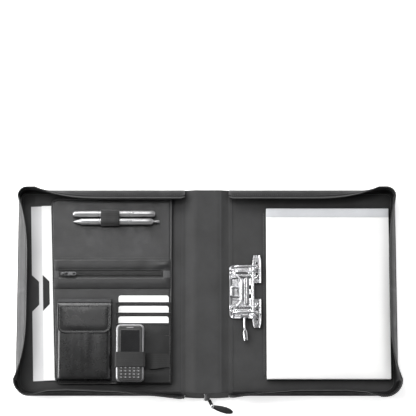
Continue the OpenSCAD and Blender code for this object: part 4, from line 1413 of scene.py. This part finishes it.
def phone():
    """Bar phone: silver case, black glass face and a block of small keys."""
    (x0, y0, z0), (x1, y1, z1) = span("phone_case")
    mid = (x0 + x1) / 2
    case = phone_part("body", (x0, x1), (y0, y1), (z0, z1 - 0.8), SHELL, 7, 3.2, 6)
    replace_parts(case, "phone_case")
    phone_part("rim", (x0 + 0.9, x1 - 0.9), (y0 + 0.9, y1 - 0.9), (z1 - 2.6, z1 - 0.2),
               PHONE_METAL, 6.2, 0.8, 8)
    face = phone_part("front", (x0 + 3.2, x1 - 3.2), (y0 + 0.6, y1 - 2.6), (z1 - 0.6, z1 + 0.25),
                      DARK_PLASTIC, 5.5, 0.4, 8)
    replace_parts(face, "phone_face")
    phone_part("screen", (x0 + 7.5, x1 - 7.5), (y0 + 46, y1 - 10), (z1 + 0.2, z1 + 0.5), GLASS, 1, 0.15, 10)
    phone_part("earpiece", (mid - 6, mid + 6), (y1 - 7, y1 - 5.4), (z1 + 0.1, z1 + 0.45),
               SHELL, 0.7, 0.12, 3)
    for row, col in KEY_GRID:
        x = mid + (col - 2) * (KEY_W + KEY_GAP_X)
        y = y0 + 6.6 + row * (KEY_H + KEY_GAP_Y)
        phone_part(f"key_{row}_{col}", (x - KEY_W / 2, x + KEY_W / 2), (y - KEY_H / 2, y + KEY_H / 2),
                   (z1 + 0.1, z1 + 0.9), DARK_PLASTIC, 1.4, 0.35, 3)
        phone_part(f"key_mark_{row}_{col}", (x - 1.5, x + 1.5), (y - 0.8, y + 0.8), (z1 + 0.8, z1 + 0.98),
                   SHELL, 0.5, 0.08, 2)
    for name, x in (("left", x0 - 0.1), ("right", x1 - 0.5)):
        plate("phone_side_key_" + name, ((x, y1 - 30, z0 + 5), (x + 0.6, y1 - 19, z0 + 9)),
              DARK_PLASTIC, "phone", edge=0.2, step=4)


def phone_strap():
    """Elastic strap over the phone; its tail hangs in a soft wave."""
    (x0, y0, z0), (x1, y1, z1) = span("phone_strap")
    edge, base, over = phone_right(), z0 + 0.8, z1 - 0.6
    path = rounded_path([(x0 - 6, 0, base), (x0 + 0.6, 0, base), (x0 + 0.6, 0, over),
                         (edge + 1.1, 0, over), (edge + 1.1, 0, base + 0.4)], 3.5, 6)
    hang = [(5, 0.5), (12, 2.6), (22, 3.4), (32, 2.4)]
    tail = [*((edge + d, base + h) for d, h in hang), (x1 - 4, base + 0.4), (x1, base)]
    run = np.array([[p[0], p[2]] for p in path[4:]] + tail)
    smooth = [run[0]]
    for a, b in zip(run, run[1:]):
        smooth += [a + (b - a) * t for t in (0.5, 1.0)]
    band = ribbon("phone_strap_band", smooth, y0, y1, 1.0, ELASTIC, "front_cover",
                  wave=lambda x: -1.6 * math.sin((x - edge) / 9) if x > edge + 3 else 0)
    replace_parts(band, "phone_strap")


organizer()
zip_pocket()
pouch()
card_slots()
pens()
pen_loop()
phone()
phone_strap()

# ---------- stage

ELEVATION = 76
DISTANCE = 4.5
VIEW_WIDTH = 0.7184


def camera():
    data = bpy.data.cameras.new("camera")
    data.lens = data.sensor_width / 2 / (VIEW_WIDTH / 2 / DISTANCE)
    rig = bpy.data.objects.new("camera", data)
    aim = Vector((0.0019, 0.149, 0))
    up = math.radians(ELEVATION)
    rig.location = aim + DISTANCE * Vector((0, -math.cos(up), math.sin(up)))
    rig.rotation_euler = (aim - rig.location).to_track_quat("-Z", "Y").to_euler()
    bpy.context.scene.collection.objects.link(rig)
    bpy.context.scene.camera = rig


def area_light(name, at, aim, size, power):
    data = bpy.data.lights.new(name, "AREA")
    data.shape = "RECTANGLE"
    data.size, data.size_y = size
    data.energy = power
    lamp = bpy.data.objects.new(name, data)
    lamp.location = at
    lamp.rotation_euler = (Vector(aim) - Vector(at)).to_track_quat("-Z", "Y").to_euler()
    bpy.context.scene.collection.objects.link(lamp)


def sky():
    """Studio surround: dim overhead, bright at the horizon, brighter behind the case than before it."""
    world = bpy.data.worlds.new("studio")
    world.use_nodes = True
    tree = world.node_tree
    way = add(tree, "ShaderNodeTexCoord").outputs["Generated"]
    way = add(tree, "ShaderNodeSeparateXYZ", {"Vector": way}).outputs
    background = tree.nodes["Background"].inputs
    shade = ramp(tree, way["Z"], 0.35, 0.9, (1, 1, 1), (0.14, 0.14, 0.143))
    tree.links.new(shade, background["Color"])
    tree.links.new(remap(tree, way["Y"], 0.5, 1.6, -0.9, 0.9), background["Strength"])
    bpy.context.scene.world = world


FLOOR_HALF, FLOOR_Z, FLOOR_GRID = 6000, -0.6, 14


def stage():
    sky()
    bpy.context.scene.view_settings.view_transform = "Standard"
    area_light("soft_top", (-0.9, 1.5, 1.3), (0, 0, 0), (1.6, 0.9), 34)
    area_light("soft_left", (-1.8, 0.1, 0.7), (-0.2, 0, 0), (0.8, 1.6), 46)
    area_light("soft_high", (-0.28, 0.62, 1.95), (-0.16, 0.1, 0), (0.55, 0.42), 4.2)
    n = FLOOR_GRID
    ticks = np.linspace(-FLOOR_HALF, FLOOR_HALF, n)
    grid = [(x, y, FLOOR_Z) for y in ticks for x in ticks]
    starts = [r * n + c for r in range(n - 1) for c in range(n - 1)]
    faces = [(k, k + 1, k + n + 1, k + n) for k in starts]
    ground = paper("floor_white", (0.93,) * 3, (0.95,) * 3, fibre=40)
    shader = ground.node_tree.nodes["Principled BSDF"]
    shader.inputs["Emission Color"].default_value = (1, 1, 1, 1)
    shader.inputs["Emission Strength"].default_value = 0.6
    mesh_piece("floor", grid, faces, ground)


camera()
stage()
